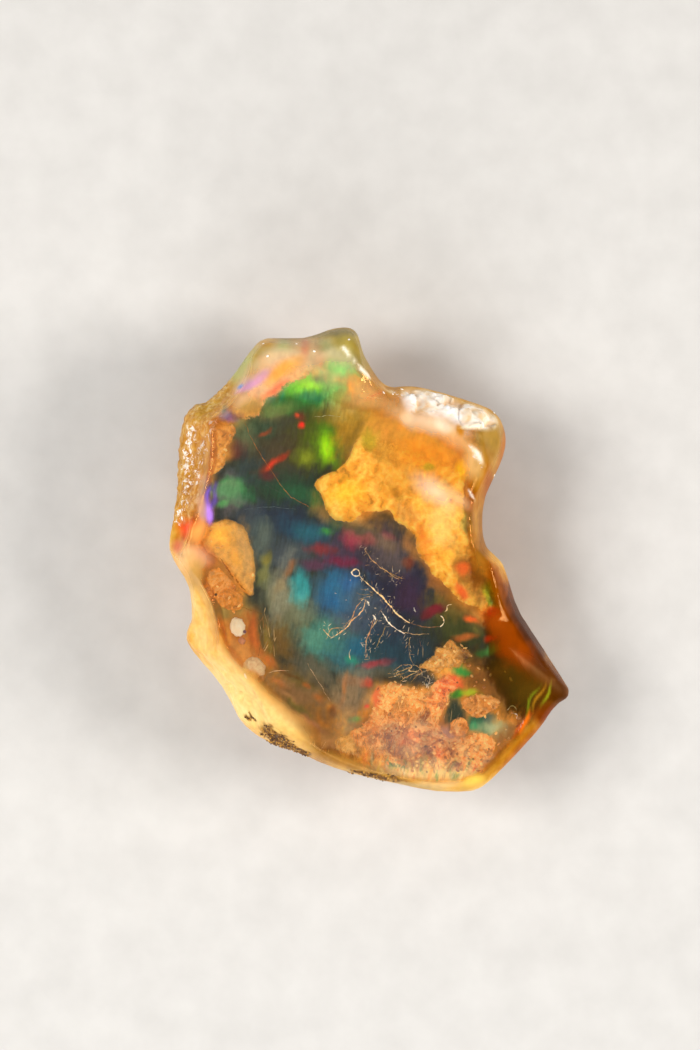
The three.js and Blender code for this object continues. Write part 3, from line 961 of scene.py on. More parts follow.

# %% The gold mass and the flakes
# Each mass's colours run from its folds to its crests with the height of its grain: partly its own
# colours, partly painted shade in the folds and painted highlight on the crests.
MASSES = {
    # name: (outline, softness of its edge, rise, height and size of its grain, how crumbly, its colours)
    "gold mass": (
        [
            (-7.9, 10.4), (-6.9, 9.0), (-6.4, 7.6), (-5.4, 5.9), (-4.2, 5.4), (-2.5, 5.5), (-1.4, 6.2),
            (-0.5, 6.7), (1.2, 7.0), (2.6, 6.8), (3.5, 5.6), (5.0, 4.6), (6.3, 3.6), (6.7, 1.8),
            (7.4, 0.2), (8.6, -1.6), (10.4, -3.2), (12.2, -5.4), (14.4, -6.4), (16.6, -7.4),
            (18.2, -6.4), (18.0, -3.4), (17.0, -0.6), (15.0, 2.6), (13.6, 6.0), (13.0, 9.6),
            (14.0, 12.6), (13.6, 15.0), (10.5, 16.8), (6.0, 18.0), (2.5, 18.2), (0.4, 17.6),
            (-1.2, 17.6), (-2.4, 16.0), (-3.4, 13.8), (-5.6, 12.2), (-7.2, 11.4),
        ], 0.5, 0.4, 0.28, 2.1, 0.0, ("b07c24", "f2b03c", "ffdc6c"),
    ),
    "left flake": (
        [
            (-22.9, 5.0), (-21.6, 5.5), (-20.2, 5.7), (-18.8, 5.3), (-17.6, 4.2), (-16.8, 2.6),
            (-16.4, 0.7), (-16.2, -1.2), (-16.2, -3.2), (-16.6, -5.0), (-17.6, -4.6), (-18.8, -3.0),
            (-20.0, -1.2), (-21.2, 0.2), (-22.6, 1.4), (-23.4, 3.2),
        ], 0.25, 0.45, 0.10, 1.6, 0.1, ("b48040", "cc9a54", "ecb85c"),
    ),
    "orange lobe": (
        [
            (-22.4, -1.6), (-21.2, -1.2), (-20.0, -2.2), (-19.0, -3.8), (-17.9, -5.2), (-18.2, -6.6),
            (-19.4, -7.2), (-20.8, -6.6), (-22.2, -5.2), (-23.0, -3.4),
        ], 0.3, 0.35, 0.16, 0.9, 0.5, ("8c5018", "bc7824", "e09c38"),
    ),
    "rim flake": (
        [
            (-19.9, 18.9), (-18.9, 18.4), (-19.3, 16.6), (-20.2, 15.2), (-20.4, 13.6), (-21.6, 12.0),
            (-23.2, 11.8), (-23.6, 14.0), (-22.8, 16.3), (-21.2, 18.2),
        ], 0.3, 0.3, 0.14, 1.1, 0.35, ("a06430", "d08c40", "f0b454"),
    ),
    "crown flake": (
        [
            (-19.4, 20.9), (-18.0, 19.9), (-16.0, 20.0), (-15.0, 21.2), (-14.6, 22.4), (-12.8, 23.4),
            (-11.0, 24.9), (-8.6, 25.6), (-8.6, 28.2), (-11.5, 28.4), (-14.2, 26.6), (-17.0, 24.0),
            (-18.8, 22.6),
        ], 0.9, 0.1, 0.08, 2.2, 0.0, ("dca060", "f4bc7c", "fcd498"),
    ),
}
print("leafy masses:", *MASSES, sep=", ")

# %% The masses of crumbs
MASSES |= {
    "bottom flake": (
        [
            (-4.8, -25.5), (-3.2, -24.6), (-1.4, -23.5), (0.4, -24.6), (1.5, -26.2), (1.9, -28.6),
            (-0.4, -29.2), (-2.8, -28.8), (-4.2, -27.5),
        ], 0.5, 0.25, 0.2, 1.4, 0.4, ("8c6028", "bc8c44", "e0b868"),
    ),
    "crumb bank": (
        [
            (-1.6, -24.6), (-0.2, -22.3), (0.9, -20.3), (1.2, -18.1), (2.3, -17.4), (4.3, -17.4),
            (6.0, -18.1), (8.0, -18.5), (9.0, -17.2), (10.9, -16.1), (12.3, -17.2), (11.4, -18.9),
            (10.9, -20.3), (9.7, -22.3), (10.4, -24.3), (12.3, -25.1), (15.7, -24.3), (17.4, -25.2),
            (17.3, -27.2), (15.7, -28.9), (12.9, -29.7), (10.0, -29.6), (5.7, -29.4), (2.6, -28.2),
            (0.6, -26.4),
        ], 0.7, 0.3, 0.32, 1.2, 1.0, ("985024", "dc9048", "f8c880"),
    ),
    "crumb lobe": (
        [
            (7.0, -15.1), (7.6, -14.2), (8.8, -13.6), (9.3, -12.5), (10.4, -12.1), (11.2, -11.2),
            (12.0, -11.7), (12.6, -12.6), (13.6, -12.7), (14.2, -13.6), (13.0, -14.2), (12.2, -15.2),
            (10.8, -15.0), (9.6, -15.9), (8.3, -15.4),
        ], 0.45, 0.35, 0.30, 1.0, 0.6, ("84581c", "c48c3c", "ecbc60"),
    ),
    "crumb knot": (
        [
            (13.0, -20.0), (14.6, -18.9), (16.9, -19.0), (18.2, -19.9), (16.9, -21.4), (14.9, -22.2),
            (13.4, -21.5),
        ], 0.4, 0.35, 0.28, 0.9, 0.45, ("84481c", "c07c38", "e4a858"),
    ),
    "crumb ball": (
        [(11.3, -23.4), (12.2, -22.3), (13.5, -22.7), (13.9, -23.8), (12.9, -24.8), (11.6, -24.6)],
        0.25, 0.45, 0.15, 0.7, 0.5, ("a0501c", "d08038", "f0ac58"),
    ),
}
print(len(MASSES), "masses in all")

# %% [markdown]
# The colours are laid on by the same brush as the skin's veils, in lists of strokes: the
# ground tones of the honey, the darks of the window, the fire over both, thin milk over the fire, and
# the touches and blades that give the masses their own colours. Every stroke names what it shows.
# Waves push the places about before the brush reads them, so that no oval looks like an oval.

# %% Ground tones
GROUNDS = [
    ("haze under the head", "d0c890", -6, 29.2, 11, 4.4, -5, 0.8, 1),
    ("orange veil in the head", "f0b878", -8.4, 27.4, 2.2, 2, 0, 1, 0.7),
    ("amber crown", "ecc078", -12, 26, 7, 3, 38, 0.8, 0.9),
    ("green slope", "b8bc78", -18.5, 26, 4, 2, 46, 0.9, 0.7),
    ("top honey", "cc9030", 2, 22, 6, 2.6, -5, 0.8, 0.9),
    ("brown honey", "b8902c", -0.4, 20, 2.6, 1.8, 0, 0.9, 0.8),
    ("right honey", "d49c3c", 6.5, 17.8, 8.5, 3.4, -12, 0.8, 1),
    ("right shoulder", "a88414", 17, 15.8, 2.8, 4.4, 0, 0.8, 0.9),
    ("right wall", "cc8c30", 15, 9.6, 3, 6, 0, 0.8, 0.8),
    ("neck", "c08024", 15.8, 1.4, 3, 5, -20, 0.9, 0.8),
    ("under the gold", "b46c18", 9.4, -3.6, 4.6, 1.8, -50, 0.8, 0.9),
    ("orange side", "b05c04", 18.4, -6.4, 2.6, 5, 25, 0.8, 0.9),
    ("orange glass", "b45400", 21.4, -12.4, 5.2, 4.4, -45, 0.8, 1),
    ("warm haze", "b07018", 17.6, -10.6, 2.4, 2, -30, 0.9, 0.8),
    ("tip", "7c3800", 25.5, -18.5, 3.5, 2.5, -30, 0.8, 0.9),
    ("olive of the tip", "5c480c", 20.6, -16.6, 4.6, 1.7, -12, 0.8, 0.9),
    ("olive beside the tip", "5c5008", 23.8, -18.8, 2, 2.6, -20, 0.9, 0.7),
    ("brown crumbs", "744c1c", 16.8, -16.9, 4.4, 2.4, -10, 1.1, 0.9),
    ("khaki corner", "94703c", 19, -24.8, 3, 2, 30, 0.8, 0.95),
    ("dark brown of the corner", "64440f", 20.4, -19.4, 5, 2.5, -8, 0.8, 0.9),
    ("rust by the edge", "7c4010", 22.6, -22.4, 2.2, 1, 40, 0.9, 0.8),
    ("left middle", "a87838", -21.5, -3.5, 3, 5, 0, 0.8, 0.9),
    ("olive band on the left", "8f8146", -18.8, -7.2, 4, 1.7, -12, 0.8, 0.9),
    ("rust", "b87c38", -17.6, -10.8, 2.6, 3.8, 20, 0.7, 1),
    ("rust edge", "b86028", -16.3, -10, 0.7, 3, 5, 0.7, 0.9),
    ("low rust", "c89050", -18.4, -13.4, 2.4, 1.6, -40, 0.9, 0.8),
    ("olive shale", "746428", -14.2, -10.6, 1.5, 4.2, 12, 0.8, 0.95),
    ("low veil", "84704c", -10, -18.8, 5.4, 3.8, -38, 0.8, 0.95),
    ("low band", "98784c", -8.6, -24.2, 6, 1.6, -28, 0.8, 0.9),
    ("low glow", "a8804c", -4, -27.2, 4, 1.8, -12, 0.8, 0.9),
    ("ground of the crumbs", "a07048", 6, -25, 10, 6, -5, 0.8, 0.95),
    ("low rim", "ecd098", 8, -30.4, 10, 1.8, 0, 0.8, 0.9),
]
print(len(GROUNDS), "ground tones")

# %% Darks of the window
DARKS = [
    ("upper left", "3c4438", -13.8, 17, 7, 6.5, 0, 0.8, 1),
    ("upper right", "41501a", -6.4, 17.8, 4.6, 5.4, 0, 0.8, 1),
    ("brown edge", "a08834", -3, 20.6, 2.2, 2.6, 0, 0.9, 0.9),
    ("maroon haze", "4c3c34", -12.6, 15.4, 4.4, 2, 15, 0.9, 0.4),
    ("slate", "2c4450", -17.2, 12.6, 3.6, 2.8, 0, 0.9, 0.9),
    ("maroon edge", "5c3034", -19.2, 15.6, 1.6, 0.9, 10, 0.9, 0.8),
    ("teal dark", "204a3e", -11, 9.6, 6.6, 2.6, -10, 0.9, 0.9),
    ("left green", "2c8450", -19.9, 9.8, 2.1, 1.3, -4, 0.9, 0.95),
    ("navy", "1e3552", -13.4, 5.4, 6.4, 2.8, -6, 0.8, 1),
    ("blue", "1c4a74", -8.6, 3.6, 4.2, 2.2, -8, 0.9, 0.9),
    ("grey blue", "3d5664", -16.2, 3.4, 2.4, 2.6, 0, 0.9, 0.8),
    ("steel", "41566c", -11.6, 0.6, 4.2, 2.2, -8, 0.9, 0.9),
    ("violet dusk", "463c62", -3.8, 0.6, 4.6, 2.2, -22, 0.9, 0.9),
    ("hollow", "7c6440", 1.4, 5.2, 3.6, 1.5, -12, 0.9, 0.9),
    ("dark of the hollow", "343450", 2.6, 0.8, 4.6, 4, -40, 0.8, 1),
    ("deep navy", "20284c", 4.4, -4.2, 5.8, 4.6, -40, 0.8, 1),
    ("violet", "37244e", 5.6, -5.2, 2.8, 1.9, -40, 0.9, 0.8),
    ("bright blue", "2a5c90", -4.4, -5.4, 4.6, 4.2, -30, 0.8, 1),
    ("deep blue", "34507c", -0.4, -9, 3.6, 3.4, -30, 0.9, 0.9),
    ("teal", "408c90", -6.6, -11.2, 4.4, 3, -30, 0.8, 0.95),
    ("low teal", "2c6c88", -2.5, -13.6, 3.8, 2.6, -15, 0.9, 0.95),
    ("dark teal", "18405c", 3.6, -12.4, 4.8, 3.4, -20, 0.8, 1),
    ("navy under the threads", "1c3050", 3.4, -9.6, 3.8, 1.5, -28, 1, 0.8),
    ("grey haze", "6c7864", -12, -7.2, 3.6, 4.6, 35, 0.9, 0.95),
    ("pale haze", "748474", -14.6, -3.2, 1.4, 4, 10, 0.9, 0.7),
    ("brown haze", "786030", -13.2, -11.6, 2.2, 4, 35, 0.9, 0.85),
    ("low grey", "60665c", -8, -15.2, 3.6, 2, -35, 0.9, 0.85),
    ("low olive", "847454", -3.8, -19.4, 2.8, 3, 30, 0.9, 0.9),
    ("right olive", "645c28", 11.6, -7.2, 2.6, 3.2, 45, 0.9, 0.95),
    ("right green", "35441f", 12.6, -10.4, 4.2, 2, -20, 0.9, 0.95),
    ("right dark", "443814", 16.6, -14.6, 3.4, 1.5, -12, 0.9, 0.9),
    ("crevice", "58503c", 8.2, -16.4, 2.2, 0.8, -25, 0.8, 0.8),
]
print(len(DARKS), "darks")

# %% Fire of the upper window
FIRE = [
    ("green band", "2ca848", -9.4, 23.4, 4.2, 1.9, 4, 0.8, 1),
    ("teal end of the band", "188468", -12.6, 22.6, 2.1, 1.3, 10, 0.9, 1),
    ("green in the band", "5cd840", -10, 24, 2.4, 1.1, 14, 0.8, 1),
    ("brightest green", "94fc40", -9, 24.5, 2, 1.1, -10, 0.9, 1),
    ("teal under the band", "1f7a5e", -8.4, 22.8, 2, 0.8, 0, 0.9, 0.9),
    ("dark green under the band", "2f6c34", -11.4, 21.6, 3, 1.3, 4, 0.9, 0.9),
    ("green by the crown", "427a46", -13.9, 20.9, 1.4, 1.2, 0, 0.9, 0.8),
    ("green flash in the head", "6ce070", -4, 26.5, 2.4, 1, -16, 0.9, 1),
    ("pale green by the head", "84dc8c", -4.8, 23.5, 1.9, 1.6, 20, 0.9, 1),
    ("orange blob", "f2a42c", -2.4, 24.4, 1, 1.5, 0, 0.7, 0.95),
    ("orange band one", "e4744c", -9.2, 29.4, 0.5, 2.2, -4, 0.9, 0.8),
    ("orange band two", "ee8e54", -7, 27.8, 0.9, 1.5, -4, 0.9, 0.8),
    ("orange streak", "f2863c", 0, 22.8, 1.9, 0.4, 20, 0.9, 0.9),
    ("red edge of the crown", "e6582e", -13.4, 23.6, 1.5, 0.6, 32, 0.9, 0.9),
    ("teal below the crown", "2c5648", -15.4, 18.6, 2.4, 1.4, 0, 0.9, 0.6),
    ("dim red streak", "8e4630", -15, 17.8, 1.2, 0.35, 35, 0.8, 0.9),
    ("brown red", "74382c", -9.9, 20.1, 0.7, 0.8, 30, 0.9, 0.8),
    ("red point", "f83024", -9.7, 19, 0.45, 0.45, 20, 0.7, 1),
    ("red point above", "d05030", -10.3, 20.2, 0.25, 0.35, 0, 0.8, 0.9),
    ("olive halo", "4c6c12", -7.6, 16.8, 2, 2.4, 0, 0.9, 0.9),
    ("green above the lime", "3f7c14", -6.4, 18.4, 1.3, 1, 0, 0.9, 0.8),
    ("lime halo", "5ea010", -6, 15.8, 2, 2.7, 4, 0.9, 0.95),
    ("lime", "86dc04", -6.1, 15.9, 1.05, 1.7, 4, 0.8, 1),
    ("lime core", "a0f414", -6.2, 15.8, 0.6, 0.95, 4, 0.9, 1),
    ("olive beside the lime", "66801c", -9.4, 14.4, 1.5, 1.5, 0, 0.9, 0.9),
    ("olive core", "84a028", -9.3, 14.5, 0.7, 0.9, 0, 0.9, 0.8),
    ("red streak, dull", "68342c", -14.8, 12.9, 1.6, 0.7, 30, 0.9, 0.9),
    ("red streak", "a03c28", -13.4, 13.8, 2.3, 0.5, 38, 0.7, 0.95),
    ("red streak, bright", "d8442c", -13.8, 13.4, 1, 0.3, 38, 0.8, 0.9),
    ("maroon below", "5e2c36", -14.5, 11.8, 1.6, 0.6, 10, 0.9, 0.8),
    ("teal veil", "1f6248", -10, 9.4, 3, 1.2, -14, 0.9, 0.8),
    ("left green", "1f9a4c", -19.9, 9.8, 2.3, 1.5, -4, 0.9, 1),
    ("left green, bright", "38c85c", -20.6, 8, 0.8, 0.5, 0, 0.9, 0.9),
    ("left green, upper", "34a058", -19.6, 10.6, 1.4, 0.4, -6, 0.9, 0.8),
    ("green tail", "1d6e48", -17.6, 8.8, 1.6, 0.9, -6, 0.9, 0.8),
    ("violet blue edge", "4c40e0", -21.7, 9, 1.7, 0.32, 84, 0.7, 0.95),
    ("green by the gold tip", "2c7038", -7.6, 8.4, 0.8, 1.2, 0, 0.9, 0.8),
]
print(len(FIRE), "strokes so far")

# %% Fire of the blue window
FIRE += [
    ("teal blue", "1c6484", -8.6, 3.9, 2.6, 1.4, -8, 0.9, 0.9),
    ("green in the blue", "34984e", -6.2, 4, 1, 0.7, -20, 0.9, 0.95),
    ("dark green", "2a5e44", -4.8, 5, 1.2, 0.8, -20, 0.9, 0.7),
    ("magenta", "96305e", -2.5, 2.9, 2, 1.2, -14, 0.9, 0.95),
    ("magenta right", "7a2a4c", 0, 2.9, 1, 0.7, -30, 0.9, 0.8),
    ("dull red", "863444", -7, 1.5, 1.9, 0.8, -4, 0.9, 0.9),
    ("red violet", "742450", -4.2, -0.4, 2.6, 0.8, -4, 0.9, 0.9),
    ("olive by the flake", "98983c", -14.8, -0.1, 0.7, 1.2, -20, 0.9, 0.7),
    ("pale olive", "8a985c", -15.2, -2.2, 0.8, 1.6, 0, 0.9, 0.7),
    ("orange brown", "b06c40", -11.4, -1.4, 0.6, 1.4, -30, 0.9, 0.7),
    ("orange brown tail", "9c8250", -12.9, -3.4, 0.7, 1.7, -30, 0.9, 0.6),
    ("cyan", "2fa4bc", -10, -4, 1.7, 2.6, -4, 0.6, 0.95),
    ("cyan, bright", "48bcd0", -9.8, -5.2, 0.8, 1, 0, 0.9, 0.7),
    ("dark stripe", "35607e", -7.4, -3.8, 0.6, 2.6, -4, 0.8, 0.8),
    ("blue panel", "2474b4", -5.2, -3.6, 1.7, 2, -4, 0.8, 0.9),
    ("blue panel right", "2468bc", -2.9, -3.4, 1.2, 1.6, -20, 0.9, 0.9),
    ("blue below", "1f6cb4", -4.8, -6.2, 2.4, 1.2, -20, 0.9, 0.8),
    ("violet above the panels", "5e3c66", -7.6, -0.8, 2, 0.7, -6, 0.9, 0.8),
    ("pale teal", "4f9c98", -7.8, -11, 2, 2, -30, 0.9, 0.85),
    ("bright teal", "28988c", -2.6, -14.3, 1.1, 0.7, -10, 0.9, 0.85),
    ("blue teal", "1a6ca0", -1.9, -12, 1.4, 1.4, -20, 0.9, 0.8),
    ("dark red of the hollow", "74281c", 5.6, -0.2, 0.9, 1, 0, 0.9, 0.8),
    ("rose in the hollow", "743050", 2.6, 3.4, 1.4, 0.5, -20, 0.9, 0.7),
    ("crimson", "701a30", 9, -7.1, 1.8, 0.75, 25, 0.7, 1),
    ("crimson, low", "581426", 8, -7.9, 1.2, 0.5, 30, 0.8, 0.7),
    ("red under the teal", "a83048", 0.2, -14.8, 1.7, 0.5, 6, 0.8, 0.9),
    ("red tail", "803048", 2.4, -14.4, 1, 0.4, 10, 0.9, 0.7),
]
print(len(FIRE), "strokes so far")

# %% Fire about the crumbs and the tip
FIRE += [
    ("slate of the crevice", "343c44", 7.6, -16.7, 2.3, 1.1, -18, 0.8, 1),
    ("dark over the bank", "3c4038", 2.6, -16.2, 2.6, 0.8, -6, 0.9, 0.8),
    ("coral left", "d84c40", -0.6, -17.3, 0.9, 0.7, -20, 0.8, 0.9),
    ("coral low left", "f07848", 1, -18.9, 0.6, 1.1, -20, 0.8, 0.85),
    ("red dot", "e43830", -0.4, -20.7, 0.4, 0.3, 0, 0.8, 0.9),
    ("brown streaks", "b87038", -3.8, -18.2, 0.4, 2.2, -8, 0.9, 0.8),
    ("brown streaks right", "96603c", -2.4, -17, 1.6, 0.8, -10, 0.9, 0.6),
    ("green in the corner", "4aac46", -2.2, -22.4, 0.7, 0.5, 0, 0.9, 0.9),
    ("orange spark", "f2702a", 14, -8.4, 1, 0.5, -20, 0.8, 0.95),
    ("orange brown bar", "b86a2c", 13.3, -10.9, 1.6, 0.5, 6, 0.9, 0.9),
    ("khaki veil", "80803e", 14.8, -9.8, 1.2, 0.6, -30, 0.9, 0.6),
    ("red spark", "d84a1c", 16.6, -11.1, 0.9, 0.5, 10, 0.8, 0.9),
    ("right green flash", "3f9844", 16.8, -12.6, 1.5, 0.75, 25, 0.8, 0.95),
    ("right green flash two", "2e7432", 15.4, -13.1, 0.9, 0.6, 0, 0.9, 0.8),
    ("green by the lobe", "30943f", 12.7, -15.6, 1.2, 0.7, -10, 0.8, 0.95),
    ("orange brown crumbs", "9c6428", 16.4, -18.3, 1.4, 0.9, -10, 0.9, 0.7),
    ("crumb by the tip", "7c5420", 18.4, -18.8, 1.4, 0.9, -20, 0.9, 0.6),
    ("dark green crevice", "2c3c34", 11.9, -21.4, 1.2, 2.5, 8, 0.7, 1),
    ("green crevice", "205c48", 15.5, -22.9, 1.9, 1.2, -24, 0.7, 1),
    ("green in the crevice", "1c9464", 14.6, -23.2, 0.7, 0.6, -20, 0.9, 0.9),
    ("pale green veil", "a8b894", 16.9, -23.6, 1.9, 1.2, 10, 0.9, 0.9),
    ("slate crevice", "48605c", 16.9, -22.2, 1.1, 0.7, 0, 0.9, 0.8),
    ("orange streak of the tip", "e2741c", 21.6, -23, 0.35, 2.6, -35, 0.9, 0.9),
    ("green streak of the tip", "8a9c1c", 24.9, -18.6, 0.22, 2.2, -18, 0.9, 0.8),
    ("gold streak of the tip", "9a8018", 23.4, -17.6, 0.2, 2, -22, 0.9, 0.7),
    ("green streak low", "6a7c18", 22.4, -21, 0.2, 1.8, -28, 0.9, 0.7),
    ("green pool in the crumbs", "2c6a4a", 4.3, -28.4, 1.6, 0.9, 0, 0.8, 0.95),
]
print(len(FIRE), "strokes so far")

# %% Fire of the low left
FIRE += [
    ("orange band of the oval", "c88448", -12.8, -17.2, 1.3, 0.5, -34, 0.9, 0.85),
    ("pale band of the oval", "c8a078", -11.4, -19.2, 1.8, 0.35, -38, 0.9, 0.8),
    ("olive of the oval", "6c6438", -9.6, -17.6, 2.6, 0.9, -38, 0.9, 0.85),
    ("orange fleck of the oval", "cc7c34", -7.4, -19.4, 0.9, 0.5, -40, 0.9, 0.9),
    ("second orange fleck", "c8702c", -8.9, -17.6, 0.5, 0.3, -40, 0.9, 0.8),
    ("green of the oval", "6c7434", -9.9, -20.9, 1.8, 0.6, -38, 0.9, 0.85),
    ("rose band of the oval", "b88c7c", -8.5, -22.6, 2, 0.5, -36, 0.9, 0.85),
    ("brown end of the oval", "74401c", -5.4, -21.3, 0.6, 0.9, -10, 0.9, 0.85),
    ("brown arc of the oval", "6c4c24", -11.6, -15.9, 2.2, 0.22, -28, 0.9, 0.8),
    ("orange brown low left", "c06c30", -14, -14.1, 1, 0.7, -30, 0.9, 0.8),
    ("rust striation", "a85c24", -16.9, -9.8, 0.28, 2.4, 4, 0.9, 0.8),
    ("second rust striation", "c07030", -16.1, -11.2, 0.25, 2.2, 6, 0.9, 0.8),
    ("dark striation", "4c4c30", -15.2, -10.4, 0.25, 2.4, 8, 0.9, 0.8),
    ("olive striation", "8c7c3c", -14.4, -11, 0.3, 2.6, 10, 0.9, 0.7),
    ("second dark striation", "504830", -13.6, -11.6, 0.22, 2.2, 12, 0.9, 0.7),
]
print(len(FIRE), "strokes of fire")

# %% Milk over the fire
MILK = [
    ("milk over the head", "d4f0a0", -8.4, 24.6, 5.4, 1.5, 2, 0.9, 0.24),
    ("olive haze over the lime", "a08c30", -5.4, 20.2, 1.8, 1, 0, 0.9, 0.55),
    ("milk under the head", "b4c078", -4, 21.6, 2.8, 1.6, 0, 0.9, 0.45),
    ("honey milk at the crest", "e8c070", -1, 22.6, 2.8, 1.6, 0, 0.9, 0.55),
    ("olive milk right of the lime", "b08c24", -3.2, 17.6, 1.9, 3.2, -8, 0.9, 0.8),
    ("milk of the upper left", "b8b878", -13.6, 21, 2.6, 1.2, 10, 0.9, 0.35),
    ("milk by the rim flake", "8cac80", -18, 17.6, 1.6, 2, 20, 0.9, 0.42),
    ("milk over the left green", "b0a4b8", -20.4, 9.6, 2.4, 3.2, 0, 0.9, 0.4),
    ("milk over the slate", "788088", -17.6, 6.6, 2.4, 2, 0, 0.9, 0.25),
    ("gold milk under the lobe", "b89050", -6.8, 7, 2.2, 1.3, -58, 1.1, 0.7),
    ("milk of the arch", "b09468", -1, 3.8, 5, 1.6, -16, 0.9, 0.36),
    ("milk of the hollow", "a89c84", 3, 0.6, 3.4, 2.6, -40, 0.9, 0.32),
    ("brown milk along the arm", "c48c48", 6.4, 1.8, 3.2, 1.1, -62, 0.9, 0.68),
    ("brown milk low on the arm", "b87840", 8.9, -3, 2.8, 1.2, -52, 0.9, 0.7),
    ("teal milk by the flake", "5c7478", -15.6, 3.4, 1.2, 2, 0, 0.9, 0.75),
    ("pale milk", "a4b0a8", -12.8, -4, 5.2, 1.7, 72, 0.9, 0.48),
    ("pale milk on the cyan", "90b8b0", -10, -6.6, 2.2, 1.5, 0, 0.9, 0.3),
    ("milk around the threads", "8498a8", -0.4, -6.8, 4.6, 2, -36, 0.9, 0.26),
    ("milk at the branch", "8898a0", -3.4, -9.2, 3, 1.8, -30, 0.9, 0.28),
    ("milk low in the window", "7898a0", 2.6, -15.8, 3.6, 1.3, 0, 0.9, 0.22),
    ("milk under the teal", "a8a090", -1.6, -16.4, 2.8, 1.4, 0, 0.9, 0.36),
    ("milk of the low left", "a0988c", -3, -19.6, 3.6, 2.8, 30, 0.9, 0.42),
    ("milk beside the bank", "8c8468", -2.4, -23.4, 3, 2, -10, 0.9, 0.62),
    ("lilac milk in the low left", "b09084", -9.4, -18.8, 3.4, 0.9, -36, 0.9, 0.4),
]
print(len(MILK), "veils of milk")

# %% Touches over the gold and the flakes
TOUCHES = [
    ("haze over the gold", "d89c34", 5.6, 12.4, 5.4, 3.4, -12, 1.1, 0.7),
    ("brown haze of the gold", "b88428", 1.6, 15.4, 2.6, 1.6, -20, 1.1, 0.6),
    ("lime in the gold", "b8b028", -0.2, 16.8, 1.2, 1.4, 20, 0.9, 0.7),
    ("bright yellow", "ffd02c", -3.4, 9.6, 2.4, 1.8, 20, 1, 0.6),
    ("orange of the gold", "ee9a1c", 8, 14.6, 4.6, 2.2, -15, 0.9, 0.7),
    ("yellow spark", "ffcc18", 13, 12.7, 1, 1.4, 0, 0.9, 0.85),
    ("green in the gold", "b4a81c", 8, 13, 0.9, 0.6, 0, 0.9, 0.7),
    ("fold in the gold", "b47c1c", 3.2, 9.4, 1.6, 0.9, -30, 0.9, 0.7),
    ("arch of the gold", "d09040", 5.4, 6.4, 2.2, 1.2, -45, 0.9, 0.7),
    ("bright right arm", "ffdc88", 10, 5.4, 2.2, 3.8, 8, 0.9, 0.75),
    ("teal specks", "8e9050", 13.3, 5.4, 0.6, 1.9, 0, 0.9, 0.7),
    ("orange inner edge", "f08c30", 7.6, 2.4, 0.8, 2.8, 10, 0.9, 0.6),
    ("haze on the low arm", "9c6820", 14.2, -2.6, 4.6, 1.9, -62, 0.9, 0.85),
    ("dark right end of the lobe", "604818", 13.8, -13.6, 1.5, 1.3, 0, 1, 0.8),
    ("bright lump", "ffc648", 10.7, 0.6, 1.2, 0.9, 0, 0.9, 0.8),
    ("red orange lump", "f47028", 13.1, -1.3, 1, 0.8, 0, 0.9, 0.85),
    ("red orange edge", "f2662a", 12.8, -4.4, 0.7, 1.3, 30, 0.9, 0.85),
    ("lime on the arm", "96c412", 16.7, -4.1, 1, 1.4, 10, 0.8, 0.95),
    ("green under the lime", "6c9412", 17, -5.6, 0.6, 0.8, 0, 0.9, 0.8),
    ("red orange under the arm", "e4620e", 17.3, -7.3, 1.4, 0.9, -10, 0.9, 0.9),
    ("orange right of the arm", "d8780e", 18.2, -3, 0.9, 2.6, 20, 0.9, 0.7),
    ("yellow of the flake", "ecb044", -18.4, 0.4, 1, 1.4, 20, 0.9, 0.7),
    ("yellow grain of the flake", "fcc048", -20.9, 3.6, 1.8, 1.6, 0, 0.9, 0.85),
    ("smooth edge of the flake", "c4a068", -17.5, 1.2, 1.1, 3.6, 12, 0.9, 0.75),
    ("grey of the flake", "bc9050", -19.2, 3, 0.8, 1.4, 40, 0.9, 0.4),
    ("granular orange", "cc7c28", -20.6, -3.6, 1.6, 1.4, 20, 0.8, 0.6),
    ("orange of the lobe", "c07c20", -19.4, -5.6, 1.3, 1, -20, 0.8, 0.6),
    ("purple edge of the rim flake", "9a5c74", -23, 14.6, 0.6, 1.8, 0, 0.9, 0.7),
    ("yellow of the crown", "fcb43c", -12.2, 26.4, 2.6, 1, 38, 0.9, 0.7),
    ("orange low edge of the crown", "f48848", -12.8, 24.2, 1.8, 0.6, 34, 0.9, 0.7),
    ("purple by the crown", "9c6cb0", -19.4, 19.9, 1.2, 0.6, 10, 0.9, 0.85),
    ("khaki of the crown", "c0984e", -16.2, 21.2, 1.6, 1, 20, 0.9, 0.7),
]
print(len(TOUCHES), "touches so far")

